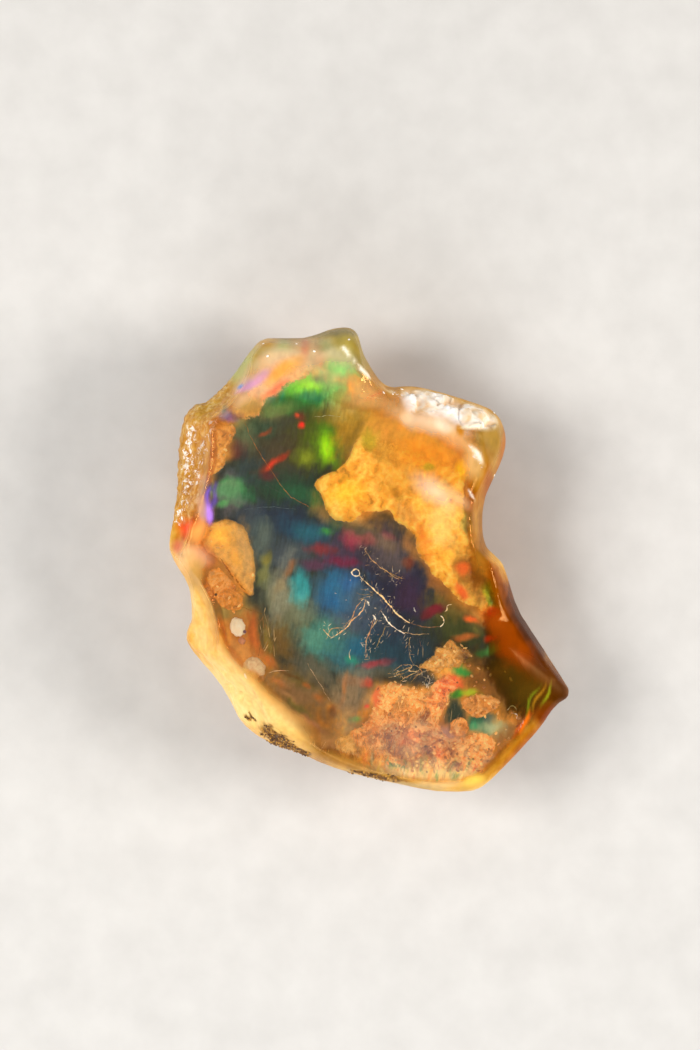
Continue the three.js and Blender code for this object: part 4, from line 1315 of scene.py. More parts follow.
# %% Touches over the bank of crumbs
TOUCHES += [
    ("golden brow of the bank", "f8bc64", 4.6, -19, 3.8, 1.6, -6, 0.9, 0.85),
    ("gold of the bank", "f4b45c", 5.6, -21.4, 3.6, 1.8, -12, 0.9, 0.8),
    ("orange under the coral", "fc9c58", 9.4, -20, 1.4, 1.3, 50, 0.8, 0.9),
    ("coral", "fc6440", 10.9, -17.6, 1.8, 1.3, 20, 0.7, 1),
    ("bright coral", "ff7850", 10.4, -18.4, 0.9, 0.7, 30, 0.9, 0.8),
    ("green beside the coral", "3c9c24", 12.2, -18.8, 0.9, 0.7, 30, 0.7, 1),
    ("lime beside the coral", "a4bc28", 14, -18.6, 1.2, 0.6, 0, 0.7, 1),
    ("coral edge of the bank", "f46c44", 1.1, -19.4, 0.5, 1.4, -6, 0.8, 0.9),
    # The hollow strokes, plum, maroon and brown, darken the hollows of the bank: partly the opal's own
    # dark, partly painted shade.
    ("plum hollow", "643c48", 3.3, -24.4, 1.4, 1.6, 10, 0.8, 0.9),
    ("second plum hollow", "5c3840", 3.6, -26.8, 1.6, 0.8, -10, 0.8, 0.9),
    ("orange lumps", "f4945c", 6.2, -24.8, 1.7, 1, -10, 0.8, 0.9),
    ("cream lump", "fce0b0", 7, -23.2, 1.5, 0.8, 10, 0.9, 0.8),
    ("cream lump below", "ffe4b4", 5.8, -26.8, 1.6, 1.1, 20, 0.9, 0.85),
    ("cream lump at the fan", "fcd8a0", 9.6, -28.4, 1.6, 0.7, 0, 0.9, 0.8),
    ("lilac haze of the bank", "b49498", 10.6, -24.6, 2.2, 1.3, -10, 0.9, 0.85),
    ("maroon hollow", "582c38", 7.9, -26, 0.8, 1.2, 10, 0.8, 0.95),
    ("second maroon hollow", "5c3030", 11.4, -26.6, 1, 1.1, 0, 0.8, 0.9),
    ("hollow under the brow", "7c4838", 7.6, -21.8, 1, 0.8, 20, 0.8, 0.7),
    ("hollow beside the clumps", "64383c", 12, -28.6, 1, 0.6, 0, 0.8, 0.8),
    ("red clump", "e85c3c", 4.6, -25.4, 0.8, 0.6, 0, 0.8, 0.8),
    ("third maroon hollow", "784438", 9.2, -25.8, 0.8, 0.8, 0, 0.8, 0.7),
    ("red grains", "f05c38", 9.8, -27.3, 0.5, 0.8, 0, 0.8, 0.95),
    ("cream clumps", "fcd89c", 13.6, -27, 1.8, 0.9, 10, 0.9, 0.9),
    ("orange clumps", "ec9c54", 14.4, -28.2, 1.4, 0.7, 20, 0.9, 0.8),
    ("pale grit", "c4a48c", 17, -28.4, 1.4, 0.9, 20, 0.9, 0.8),
    ("rust corner", "a86030", 16.6, -29.9, 1, 0.7, 10, 0.8, 0.9),
    ("yellow fan", "ecd68c", 8.4, -30, 6, 1, 0, 0.9, 0.7),
    ("green blades of the fan", "94a848", 10.9, -28.9, 0.3, 1, 8, 0.9, 0.8),
    ("second green blades", "88a050", 7.4, -28.6, 0.25, 0.8, -6, 0.9, 0.7),
    ("green in the fan", "6c8c58", 12, -30.6, 0.7, 0.6, 30, 0.9, 0.7),
    ("gold plate", "f0ac40", -0.7, -27.8, 0.7, 1.4, 0, 0.7, 0.9),
    ("second gold plate", "eca43c", 1.3, -28.3, 1, 0.8, -20, 0.7, 0.9),
    ("green gap of the plates", "5c6c48", 0.2, -28, 0.2, 1.3, -6, 0.8, 0.8),
]
print(len(TOUCHES), "touches")

# %% Blades of the fan
# The fan is the fringe of short blades along the low edge, which lean outwards from its middle.
FAN_FROM = -1.0
FAN_TO = 16.0
FAN_STEP = 0.25
FAN_MIDDLE = (8, -29.4)
FAN_SWAY = 26  # degrees
FAN_TONES = ["fcdc60", "b0a848", "fff4cc", "f0a040", "e07038", "fcd8a0", "78a858", "c8843c", "fff0a8"]
FAN_LEAN = 1.6  # degrees for each mm from its middle

sway = np.random.default_rng(SEED)
BLADES = []
for lot, x in enumerate(np.arange(FAN_FROM, FAN_TO, FAN_STEP)):
    half_length = sway.uniform(0.5, 1.6)
    turn = 90 + FAN_LEAN * (FAN_MIDDLE[0] - x) + sway.uniform(-FAN_SWAY, FAN_SWAY)
    middle = FAN_MIDDLE[1] + sway.uniform(-1.3, 1.5)
    code = FAN_TONES[(lot * 4) % len(FAN_TONES)]
    half_width = sway.uniform(0.05, 0.24)
    share = sway.uniform(0.35, 0.95)
    BLADES.append(("blade", code, x, middle, half_length, half_width, turn, 0.6, share))
print(len(BLADES), "blades of the fan")

# %% Shares of the window and of each mass
plan = core[top]
torn = drifted(plan, 1.6, 0.36, seed=21.0)
swayed = drifted(plan, 4.5, 1.2, seed=23.0)
window_depth = depth_inside(drifted(plan, 2.0, 0.8, seed=22.0), WINDOW)
window_share = smooth(window_depth, -WINDOW_BLUR, WINDOW_BLUR)
depths = {name: depth_inside(torn, mass[0]) for name, mass in MASSES.items()}
shares = {name: smooth(depths[name], -mass[1], mass[1]) for name, mass in MASSES.items()}
fading = 1 - smooth(plan[:, 1] + 0.35 * plan[:, 0], 14.5, 19.5)  # the gold is lost in haze up there
shares["gold mass"] *= fading
mass_share = np.maximum.reduce(list(shares.values()))
print("share of the top that is window:", round(float(window_share.mean()), 2))

# %% Paint the ground
swell = cloud(plan, 5.0, 3, seed=12.0)
grit = cloud(plan, 0.8, 3, seed=13.0)
tone = ramped(swell + 0.5 * grit, (-0.7, "b0701e"), (0.0, "d8933a"), (0.7, "eab458"))
paint(tone, swayed, GROUNDS)
dark = ramped(swell, (-0.7, "1c2a30"), (0.7, "2e3c3c"))
paint(dark, swayed, DARKS)
tone += (dark - tone) * window_share[:, None]
paint(tone, torn, TOUCHES)
paint(tone, torn, FIRE)
paint(tone, swayed, MILK)
print("mean colour of the ground:", tone.mean(axis=0).round(2))

# %% [markdown]
# The masses have a canvas of their own, painted a little past each outline, and the finish lays it over
# the ground along an edge that is finer than the net. Their relief is in the net itself.

# %% Paint and raise the masses
PAST_EDGE = 1.5

leaf_tone = tone.copy()
rise = -WINDOW_SINK * window_share * (1 - mass_share) + 0.12 * swell
for i, (name, (_, _, height, grain, size, crumbly, tones)) in enumerate(MASSES.items()):
    on = np.flatnonzero(depths[name] > -PAST_EDGE)
    there = plan[on]
    fold = 1 - 2.2 * np.abs(cloud(there + 0.4 * grit[on, None], size, 4, seed=31.0 + i))
    _, wall, _ = lumps(there + 0.25 * grit[on, None], 0.9 * size, seed=41.0 + i)
    clumps = 0.6 * cloud(there, 0.45 * size, 3, seed=61.0 + i)
    grains = 0.9 * fold + clumps + 0.5 * smooth(wall, 0.0, 0.3) - 0.3
    height_there = np.clip(fold + (grains - fold) * crumbly, -1.2, 1.3)
    # Fold colour to crest colour by height: painted shade in the folds and painted highlight on the
    # crests, over the mass's own colour.
    leaf_with_shading = ramped(height_there, (-1.1, tones[0]), (0.1, tones[1]), (1.2, tones[2]))
    covered = smooth(depths[name][on], -PAST_EDGE, -PAST_EDGE / 2)[:, None]
    leaf_tone[on] += (leaf_with_shading - leaf_tone[on]) * covered
    rise[on] += shares[name][on] * (height + grain * (height_there - 0.3))
paint(leaf_tone, torn, TOUCHES)
for either in (leaf_tone, tone):
    paint(either, torn, BLADES)

lifted = core.copy()
lifted[top, 2] += rise * smooth(core_normals[top, 2], 0.1, 0.6)
move_to(fire.data, lifted)
print("rise of the fire layer, mm:", rise.min().round(2), "to", rise.max().round(2))

# %% The tones of the fire layer, from its top to its sides and back
body_swell = cloud(core, 4.0, 3, seed=15.0)
body_tone = ramped(body_swell, (-0.6, "9c5814"), (0.0, "c88030"), (0.6, "e0a858"))
on_top = smooth(core_normals[top, 2], 0.0, 0.25)
for name, paint_there in (("tone", tone), ("leaf_tone", leaf_tone)):
    whole = body_tone.copy()
    whole[top] += (paint_there - whole[top]) * on_top[:, None]
    keep_tone(fire.data, name, whole)
print("share of the fire layer that is painted:", round(len(top) / len(core), 2))

# %% Where the fire layer is leafy, streaky, crumby and fibrous
# Each field is x, y, half length, half width and turn.
CRUMB_FIELDS = [(16.8, -16.9, 4.0, 2.2, -10), (19.0, -23.6, 3.0, 2.5, 30), (16.0, -29.0, 2.0, 1.0, 20)]
FIBRE_FIELDS = [
    (8.0, -29.9, 9.0, 1.5, 0), (0.5, -26.5, 4.5, 2.6, 10), (-14.2, -10.6, 1.4, 4.0, 10),
    (22.4, -20.6, 3.0, 2.2, -30), (7.0, -21.0, 6.0, 3.0, 0), (-6.0, -26.6, 4.0, 1.6, -20),
    (7.2, -12.0, 1.6, 1.6, 0),
]


def keep_on_top(name, share):
    """Stores a share for each point of the fire layer: the one given on top, and 0 elsewhere."""
    whole = np.zeros(len(core))
    whole[top] = share * on_top
    keep(fire.data, name, whole)
    print(name, "share of the layer:", whole.mean().round(2))


crumbly = np.maximum.reduce([shares[name] * mass[5] for name, mass in MASSES.items()])
keep_on_top("leafy", mass_share)
keep_on_top("streaky", window_share)
keep_on_top("crumby", np.maximum(crumbly, 0.5 * patches(plan, CRUMB_FIELDS)))
keep_on_top("fibrous", patches(plan, FIBRE_FIELDS))

# %% [markdown]
# Finer than the net's faces, the finish adds its own grain: crinkles on the leaf, crumbs from rust to
# cream where the layer is crumbly, and faint crossing strokes in the window. It also tears the edges of
# the masses. The layer glows a little in its own colour. In the real stone light wanders about inside
# and comes out again everywhere, and a faint glow stands for that.

# %% Finish of the fire layer
FIRE_GLOW = 0.35


def heap_shading(finish):
    """Larger grain of crumbs and bank: mixed tones, painted shade in hollows, painted light on heaps."""
    heaps = finish.grain(2.4, 5.0, 0.55, distortion=1.2)
    return finish.ramp(
        heaps, (0.36, "5c3038"), (0.43, "9c5c40"), (0.49, "f0a04c"), (0.55, "ffe8a8"), (0.62, "e89440")
    )


def fire_finish():
    layer = Finish("fire_layer")
    leafy, streaky, crumby = [layer.attribute(name) for name in ("leafy", "streaky", "crumby")]
    ground = layer.painted("tone")
    grit = layer.grain(0.8, 5.0, 0.7)
    ground = layer.mottled(ground, 0.4, grit, "a0a0a0", "d4d4d4")
    upward = layer.grain(0.35, 4.0, 0.6, stretch=(80, 8.0))
    ground = layer.mottled(ground, layer.times(streaky, 0.35), upward, "909090", "e0e0e0")
    across = layer.grain(0.3, 4.0, 0.6, stretch=(-8, 7.0))
    ground = layer.mottled(ground, layer.times(streaky, 0.06), across, "909090", "e0e0e0")

    crinkle = layer.grain(0.45, 6.0, 0.72, distortion=0.9)
    leaf_with_shading = layer.mottled(layer.painted("leaf_tone"), 0.4, crinkle, "8c8c8c", "e4e4e4")
    crumb = layer.grain(0.8, 6.0, 0.72, distortion=1.6)
    leaf_with_shading = layer.mottled(leaf_with_shading, layer.times(crumby, 0.35), crumb, "6c6c6c", "f4f4f4")
    leaf_with_shading = layer.mix(layer.times(crumby, 0.50), leaf_with_shading, heap_shading(layer))
    speckle = layer.grain(0.5, 5.0, 0.7, distortion=1.2)
    spark = layer.ramp(speckle, (0.36, "702810"), (0.46, "e0802c"), (0.60, "ffe8b0"))
    leaf_with_shading = layer.mix(layer.times(crumby, 0.16), leaf_with_shading, spark)

    tear = layer.span(layer.grain(0.5, 5.0, 0.7), 0.3, 0.7, -0.22, 0.22)
    on_leaf = layer.span(layer.math("ADD", leafy, tear), 0.34, 0.66)
    tone = layer.mix(on_leaf, ground, leaf_with_shading)
    layer.set({"Base Color": tone, "Roughness": 0.4, "Specular IOR Level": 0.08})
    layer.set({"Emission Color": tone, "Emission Strength": FIRE_GLOW})
    layer.bump(layer.times(crinkle, on_leaf), 0.12)
    return layer.material


dress(fire, fire_finish())

# %% [markdown]
# ## Crumbs and fibres
#
# In the lower right the layer breaks up into crumbs of opal, and fine fibres run nearly up the stone
# between them. There are far too many to place by hand, so one tree of geometry nodes scatters a small
# grain over a surface, thickest where a number stored on that surface says so. Drawn out, the same grain
# is a fibre. Each grain takes its tone from the layer below it and a chance number for its own shade.

# %% Where the grains go
SIZES = dict.fromkeys(("Apart", "Crowd", "Short", "Long", "Width", "Turn", "Fan", "Lift"), "Float")
scatter = Grower("scattered_grains", {"Where": "String", **SIZES, "Seed": "Int"})
given = scatter.given
where = scatter.node("GeometryNodeInputNamedAttribute", {"Name": given["Where"]}, data_type="FLOAT")
spread = scatter.node(
    "GeometryNodeDistributePointsOnFaces",
    {
        "Mesh": given["Shape"],
        "Distance Min": given["Apart"],
        "Density Max": given["Crowd"],
        "Density Factor": where.outputs[0],
        "Seed": given["Seed"],
    },
    distribute_method="POISSON",
)


# %% How each grain turns, and how large it is
def any_number(low, high, lot):
    made = scatter.node("FunctionNodeRandomValue", {2: low, 3: high, 8: lot}, data_type="FLOAT")
    return made.outputs[1]


lean = scatter.times(given["Fan"], any_number(-1.0, 1.0, 1))
angle = scatter.math("ADD", given["Turn"], lean)
rise_of_grain = any_number(-0.25, 0.25, 2)
direction = scatter.node(
    "ShaderNodeCombineXYZ",
    {0: scatter.math("COSINE", angle), 1: scatter.math("SINE", angle), 2: rise_of_grain},
)
turned = scatter.node("FunctionNodeAlignRotationToVector", {"Vector": direction.outputs[0]}, axis="Z")
reach = scatter.math("SUBTRACT", given["Long"], given["Short"])
length = scatter.math("ADD", given["Short"], scatter.times(any_number(0.0, 1.0, 3), reach))
thin = scatter.times(given["Width"], any_number(0.7, 1.3, 4))
size_of_grain = scatter.node("ShaderNodeCombineXYZ", {0: thin, 1: thin, 2: length})

# %% A kneaded grain at each place
KNEADING = 0.5  # mm: the size of its lumps

raised = scatter.node(
    "GeometryNodeSetPosition",
    {
        "Geometry": spread.outputs["Points"],
        "Offset": scatter.vector("SCALE", spread.outputs["Normal"], scale=given["Lift"]),
    },
)
tinted = scatter.node(
    "GeometryNodeStoreNamedAttribute",
    {"Geometry": raised.outputs[0], "Name": "tint", "Value": any_number(-1.0, 1.0, 5)},
    data_type="FLOAT",
    domain="POINT",
)
grain_shape = scatter.node("GeometryNodeMeshIcoSphere", {"Radius": 1.0, "Subdivisions": 1})
grains_on = scatter.node(
    "GeometryNodeInstanceOnPoints",
    {
        "Points": tinted.outputs[0],
        "Instance": grain_shape.outputs[0],
        "Rotation": turned.outputs[0],
        "Scale": size_of_grain.outputs[0],
    },
)
whole_grains = scatter.node("GeometryNodeRealizeInstances", {"Geometry": grains_on.outputs[0]})
spot = scatter.node("GeometryNodeInputPosition").outputs[0]
knead = scatter.node("ShaderNodeTexNoise", {"Vector": spot, "Scale": 1 / (KNEADING * MM), "Detail": 1.0})
push = scatter.vector("SUBTRACT", knead.outputs["Color"], (0.5, 0.5, 0.5))
kneaded = scatter.node(
    "GeometryNodeSetPosition",
    {
        "Geometry": whole_grains.outputs[0],
        "Offset": scatter.vector("SCALE", push, scale=scatter.times(given["Width"], 0.9)),
    },
)
scatter.end(kneaded.outputs[0])

# %% Crumbs and fibres
UPRIGHT = math.radians(STREAK_TURN)

crumbs = scatter.grow(
    "opal_crumbs", fire.data.copy(),
    Where="crumby", Apart=0.5 * MM, Crowd=2.4e6, Short=0.12 * MM, Long=0.42 * MM, Width=0.20 * MM,
    Turn=UPRIGHT, Fan=3.0, Lift=0.05 * MM, Seed=SEED,
)
fibres = scatter.grow(
    "opal_fibres", fire.data.copy(),
    Where="fibrous", Apart=0.3 * MM, Crowd=2.4e6, Short=0.3 * MM, Long=1.4 * MM, Width=0.035 * MM,
    Turn=UPRIGHT, Fan=0.45, Lift=0.10 * MM, Seed=SEED + 1,
)


# %% Finish of the grains
def grain_finish(name, below, dark, light, glow, heap_shading_share=0.0):
    """The tone of the canvas below, from darkened to lightened by each grain's own chance."""
    grain = Finish(name)
    tint = grain.attribute("tint")
    tone = grain.painted(below)
    if heap_shading_share:
        tone = grain.mix(heap_shading_share, tone, heap_shading(grain))
    tone = grain.mix(grain.span(tint, 0.1, 1.0, 0.0, 0.8), tone, light)
    tone = grain.mix(grain.span(tint, -0.5, -1.0, 0.0, 0.6), tone, dark)
    tone = grain.mottled(tone, 0.5, grain.grain(0.3, 4.0, 0.6), "909090", "e0e0e0")
    grain.set({"Base Color": tone, "Roughness": 0.3, "Specular IOR Level": 0.3})
    grain.set({"Emission Color": tone, "Emission Strength": glow})
    return grain.material


dress(crumbs, grain_finish("opal_crumb", "leaf_tone", "643430", "ffdc94", 0.30, heap_shading_share=0.4))
dress(fibres, grain_finish("opal_fibre", "tone", "b86c28", "f4d898", 0.35))

# %% [markdown]
# ## Threads and hairlines
#
# Fine golden threads hang in the clear opal over the window, and a few hairline cracks cross it. Each
# is drawn as a path through a few corners, at a depth under the face. Geometry nodes then do what is the
# same for all of them: they divide the path finely, let it waver, and sweep a ring along it that is
# thinner at the ends.

# %% Places under the face
ABOVE_ALL = 40.0  # a height to look down from

face = BVHTree.FromPolygons(skin.tolist(), [tuple(side.vertices) for side in outer.data.polygons])


def under_face(x, y, depth):
    """The place at x and y that lies depth mm below the stone's face, and which way the face looks."""
    struck, outwards, *_ = face.ray_cast(Vector((x, y, ABOVE_ALL)), Vector((0, 0, -1)))
    return struck - Vector((0, 0, depth)), outwards


# %% Threads of the window
EYE_MIDDLE = (-2.0, -1.85)
EYE_RADIUS = 0.54
EYE = [
    (EYE_MIDDLE[0] + EYE_RADIUS * math.cos(a), EYE_MIDDLE[1] + EYE_RADIUS * math.sin(a))
    for a in np.linspace(0, 2 * math.pi, 9)
]
THREADS = [
    # what, colour, half thickness, depth, corners
    ("eye", "f8e8c4", 0.08, 0.8, EYE),
    ("main", "f4dcaa", 0.091, 0.9, [
        (-1.6, -2.2), (0.3, -3.9), (1.5, -5.0), (3.2, -6.95), (4.7, -8.3), (5.6, -8.9),
    ]),
    ("its dim end", "6c503c", 0.06, 0.95, [(5.4, -8.8), (7, -9.3), (8.6, -9.45), (10, -9.3)]),
    ("its hook", "f8e8c4", 0.075, 0.8, [(9.9, -9.3), (10.3, -8.8), (10.3, -8.2), (9.9, -7.8)]),
    ("curl", "f0dca8", 0.06, 0.8, [(10.5, -7.4), (10.9, -7), (10.9, -6.5), (11.4, -6.2)]),
    ("second arc", "d8b078", 0.042, 1, [
        (-0.8, 1.6), (-0.4, 0.9), (0.9, -0.6), (2.6, -1.8), (4.1, -2.8),
    ]),
    ("beside it", "a08458", 0.05, 1.1, [(2, -1.7), (3.2, -2), (4.6, -2.7)]),
    ("second beside it", "8c7450", 0.04, 1.1, [(2.6, -2.2), (3.8, -2.5), (4.9, -2.6)]),
    ("branch", "ecc894", 0.07, 1, [
        (-1.3, -5.8), (-0.6, -5.7), (-1.1, -7.2), (-2.4, -8.4), (-3.4, -9.6), (-4.4, -10.4),
        (-5.5, -10.9), (-6.6, -9.8),
    ]),
    ("beside the branch", "c89c68", 0.05, 1, [
        (-1.3, -6.0), (-2.2, -7.2), (-2.7, -8.4), (-3.8, -9.5),
    ]),
    ("golden hair", "a08c58", 0.03, 1, [(0.5, -4.7), (-0.5, -4.3), (-1.6, -4.1)]),
    ("second golden hair", "94845c", 0.03, 1, [(0.4, -4.9), (-0.8, -4.9), (-1.9, -4.7)]),
    ("third golden hair", "b89c64", 0.03, 1, [(0.3, -5.1), (-0.7, -5.3), (-1.6, -5.6)]),
    ("white dash", "f4f4ec", 0.09, 0.8, [(-0.4, -5.8), (0, -6.4)]),
    ("second white dash", "f4f4ec", 0.09, 0.8, [(0.3, -7.8), (0.9, -8.4)]),
    ("white curl", "f4f0ec", 0.075, 0.3, [(19.3, -21.1), (19.7, -20.6), (20.3, -20.6), (20.7, -21.1)]),
    ("second white curl", "d8ccbc", 0.05, 0.3, [(20, -21.6), (20.7, -21.8), (20.6, -22.4)]),
    ("twig", "d0b078", 0.042, 1, [(-3.4, -9.8), (-4.6, -9.6), (-5.6, -9.9), (-6.2, -11.3)]),
    ("left strand", "c89870", 0.055, 1, [(0.5, -8.4), (0, -10.1), (-0.6, -11.6), (-0.6, -13.8)]),
    ("inner strand", "d8c090", 0.035, 1.1, [(1.2, -8.4), (-0.2, -10.4), (-0.8, -13.5)]),
    ("middle strand", "b8a058", 0.045, 0.9, [(2.3, -9.2), (1.5, -10.9), (0.9, -12.4)]),
    ("bright dash", "fffaf0", 0.085, 0.8, [(1.6, -7.3), (2.6, -8.8), (3.8, -9.8), (4.8, -10.4)]),
    ("its tail", "b8a078", 0.045, 0.9, [(4.6, -10.2), (6.2, -10.5), (8.3, -10.4)]),
    ("right strand", "b89c64", 0.035, 1.1, [(5.7, -10.9), (5.5, -12.8), (6, -14.7)]),
    ("silver smudge", "b8bcc0", 0.07, 1, [(6.1, -6.8), (6.5, -7.3)]),
    ("bracket", "e8d8b0", 0.042, 0.9, [(-2.7, -12.6), (-3, -13.3), (-2.8, -14)]),
    ("speck", "f8ecd0", 0.07, 0.8, [(-2.8, -2.9), (-2.6, -2.8)]),
    ("second speck", "f8ecd0", 0.063, 0.8, [(-4.9, -4.8), (-4.7, -4.8)]),
    ("third speck", "f8ecd0", 0.049, 0.8, [(-3.5, -5.7), (-3.3, -5.7)]),
]
print(len(THREADS), "threads so far")

# %% Filaments of the crevice
THREADS += [
    ("filament of the crevice", "dcb470", 0.03, 0.9, [(5.8, -15), (4.6, -15.5), (3.2, -16)]),
    ("second filament", "c89c58", 0.026, 0.9, [(6.2, -15.4), (4.8, -15.9), (2.6, -16.6)]),
    ("third filament", "e0bc78", 0.03, 0.9, [(6.6, -15.7), (5.4, -16.3), (4.2, -17)]),
    ("fourth filament", "b89050", 0.026, 0.9, [(7.4, -15.6), (6.6, -16.2), (5.8, -17.2)]),
    ("fifth filament", "d0a460", 0.026, 0.9, [(5.4, -14.6), (4.6, -14.8), (3.4, -15.6)]),
    ("curly thread", "f0cc90", 0.034, 0.9, [
        (5.3, -14.6), (5.9, -15.0), (5.5, -15.5), (6.4, -15.6), (7.2, -15.2),
    ]),
    ("second curly thread", "e4c088", 0.03, 0.9, [
        (6.0, -14.9), (6.8, -15.0), (7.4, -15.8), (6.6, -16.0),
    ]),
    ("dust of the crevice", "b0a080", 0.026, 0.9, [
        (7.0, -16.2), (7.9, -16.6), (7.6, -17.4), (8.4, -17.9),
    ]),
    ("silver squiggle", "bcb4a4", 0.03, 0.8, [(8, -16.2), (8.4, -16.8), (8.2, -17.4), (8.9, -17.2)]),
    ("second silver squiggle", "b0a894", 0.026, 0.8, [(8.6, -15.9), (9, -16.4), (8.7, -17)]),
    ("arc over the crevice", "e8b878", 0.03, 0.8, [(8.6, -16.4), (9, -15.9), (9.6, -15.8)]),
]
print(len(THREADS), "threads so far")

# %% Hairlines and cracks
THREADS += [
    ("golden crack", "a86c38", 0.032, 1, [
        (-17.5, 19.1), (-16.4, 16.6), (-14.9, 14.1), (-12.1, 9.9), (-10.0, 8.2), (-7.8, 7.0),
    ]),
    ("pale line", "4c6474", 0.03, 1, [(-17.6, 7.1), (-14, 7.4), (-10.5, 7.1)]),
    ("veil line", "3c5450", 0.028, 1.2, [(-16.2, 11.6), (-14, 10.2), (-11.2, 8.6)]),
    ("whitish streak", "90946c", 0.04, 0.9, [(-7.8, 20), (-6, 20.2), (-4.2, 20)]),
    ("crack in the low left", "d8bc90", 0.035, 0.7, [(-14.2, -15.8), (-12.8, -15.4), (-11.4, -15.5)]),
    ("dotted crack", "b8a080", 0.035, 0.7, [(-8.8, -14.6), (-7.4, -16.8), (-6.4, -18.4), (-5.7, -19.8)]),
    ("line in the flake", "8c4c10", 0.1, 0.75, [
        (-20.9, 0.2), (-19.6, -1.6), (-18.6, -2.9), (-17.3, -4.4),
    ]),
    ("arc under the flake", "7a5828", 0.042, 0.8, [(-19, -6.4), (-17.2, -6.8), (-15.2, -7.6)]),
    ("arc beside the rust", "6c4c20", 0.042, 0.8, [(-15.8, -8.2), (-15.2, -11), (-15.6, -13.4)]),
    ("line of the crest", "ecc890", 0.042, 0.5, [(-1.5, 23.2), (0.4, 22.6), (2.4, 22.7)]),
    ("orange line of the head", "e88040", 0.049, 0.8, [(-1.6, 22.4), (0.2, 22.9), (1.8, 23.4)]),
]
print(len(THREADS), "threads and hairlines")


# %% Paths as a mesh
def path_mesh(name, paths):
    """Paths as a mesh of edges whose points hold a tone and the thread's girth there, in metres."""
    places, edges, girths, tones = [], [], [], []
    for what, code, half_thickness, depth, corners in paths:
        course = bent(corners, steps=5)
        start = len(places)
        for i, (x, y) in enumerate(course):
            places.append(under_face(x, y, depth)[0] * MM)
            taper = math.sin(math.pi * min(max(i / (len(course) - 1), 0.08), 0.92)) ** 0.5
            girths.append(half_thickness * MM * taper)
            tones.append(hues(code))
        edges += [(start + i, start + i + 1) for i in range(len(course) - 1)]
    mesh = bpy.data.meshes.new(name)
    mesh.from_pydata(places, edges, [])
    keep(mesh, "girth", girths)
    keep_tone(mesh, "tone", np.array(tones))
    return mesh


# %% A tree that sweeps threads
sweep = Grower("swept_threads", {"Step": "Float", "Waver": "Float", "Wave": "Float", "Sides": "Int"})
given = sweep.given
course = sweep.node("GeometryNodeMeshToCurve", {"Mesh": given["Shape"]})
course = sweep.node(
    "GeometryNodeResampleCurve", {"Curve": course.outputs[0], "Length": given["Step"]}, mode="LENGTH"
)
spot = sweep.node("GeometryNodeInputPosition").outputs[0]
waves = sweep.node("ShaderNodeTexNoise", {"Vector": spot, "Scale": given["Wave"], "Detail": 2.0})
sideways = sweep.vector("SUBTRACT", waves.outputs["Color"], (0.5, 0.5, 0.5))
course = sweep.node(
    "GeometryNodeSetPosition",
    {"Geometry": course.outputs[0], "Offset": sweep.vector("SCALE", sideways, scale=given["Waver"])},
)
ring = sweep.node("GeometryNodeCurvePrimitiveCircle", {"Resolution": given["Sides"], "Radius": 1.0})
girth = sweep.node("GeometryNodeInputNamedAttribute", {"Name": "girth"}, data_type="FLOAT")
knot_wave = sweep.times(given["Wave"], 3.0)
knots = sweep.node("ShaderNodeTexNoise", {"Vector": spot, "Scale": knot_wave})
thickness = sweep.times(girth.outputs[0], sweep.span(knots.outputs[0], 0.35, 0.65, 0.3, 1.7))
tube = sweep.node(
    "GeometryNodeCurveToMesh",
    {
        "Curve": course.outputs[0],
        "Profile Curve": ring.outputs[0],
        "Scale": thickness,
        "Fill Caps": True,
    },
)
sweep.end(tube.outputs[0])

threads = sweep.grow(
    "golden_threads", path_mesh("thread_paths", THREADS),
    Step=0.14 * MM, Waver=0.5 * MM, Wave=1 / (1.0 * MM), Sides=6,
)


# %% Finish of the threads
THREAD_GLOW = 0.4


def thread_finish():
    thread = Finish("golden_thread")
    tone = thread.mottled(thread.painted("tone"), 0.8, thread.grain(0.7, 4.0, 0.7), "707070", "f8f8f8")
    thread.set({"Base Color": tone, "Roughness": 0.25})
    thread.set({"Emission Color": tone, "Emission Strength": THREAD_GLOW})
    return thread.material


dress(threads, thread_finish())

# %% Bright dust along the threads
DUSTY = [
    "main", "branch", "bright dash", "left strand", "middle strand", "right strand", "second arc",
    "beside it", "filament of the crevice", "third filament", "dust of the crevice",
]
DUST_REACH = 1.3

dusty = np.zeros(len(plan))
for what, *_, corners in THREADS:
    if what in DUSTY:
        dusty = np.maximum(dusty, 1 - smooth(away(plan, corners), 0.0, DUST_REACH))
keep_on_top("dusty", dusty)
dust = scatter.grow(
    "thread_dust", fire.data.copy(),
    Where="dusty", Apart=0.22 * MM, Crowd=1e7, Short=0.04 * MM, Long=0.40 * MM, Width=0.036 * MM,
    Turn=math.radians(60), Fan=1.1, Lift=1.3 * MM, Seed=SEED + 3,
)
dress(dust, grain_finish("thread_dust", "tone", "c49c60", "fff4d8", 0.5))
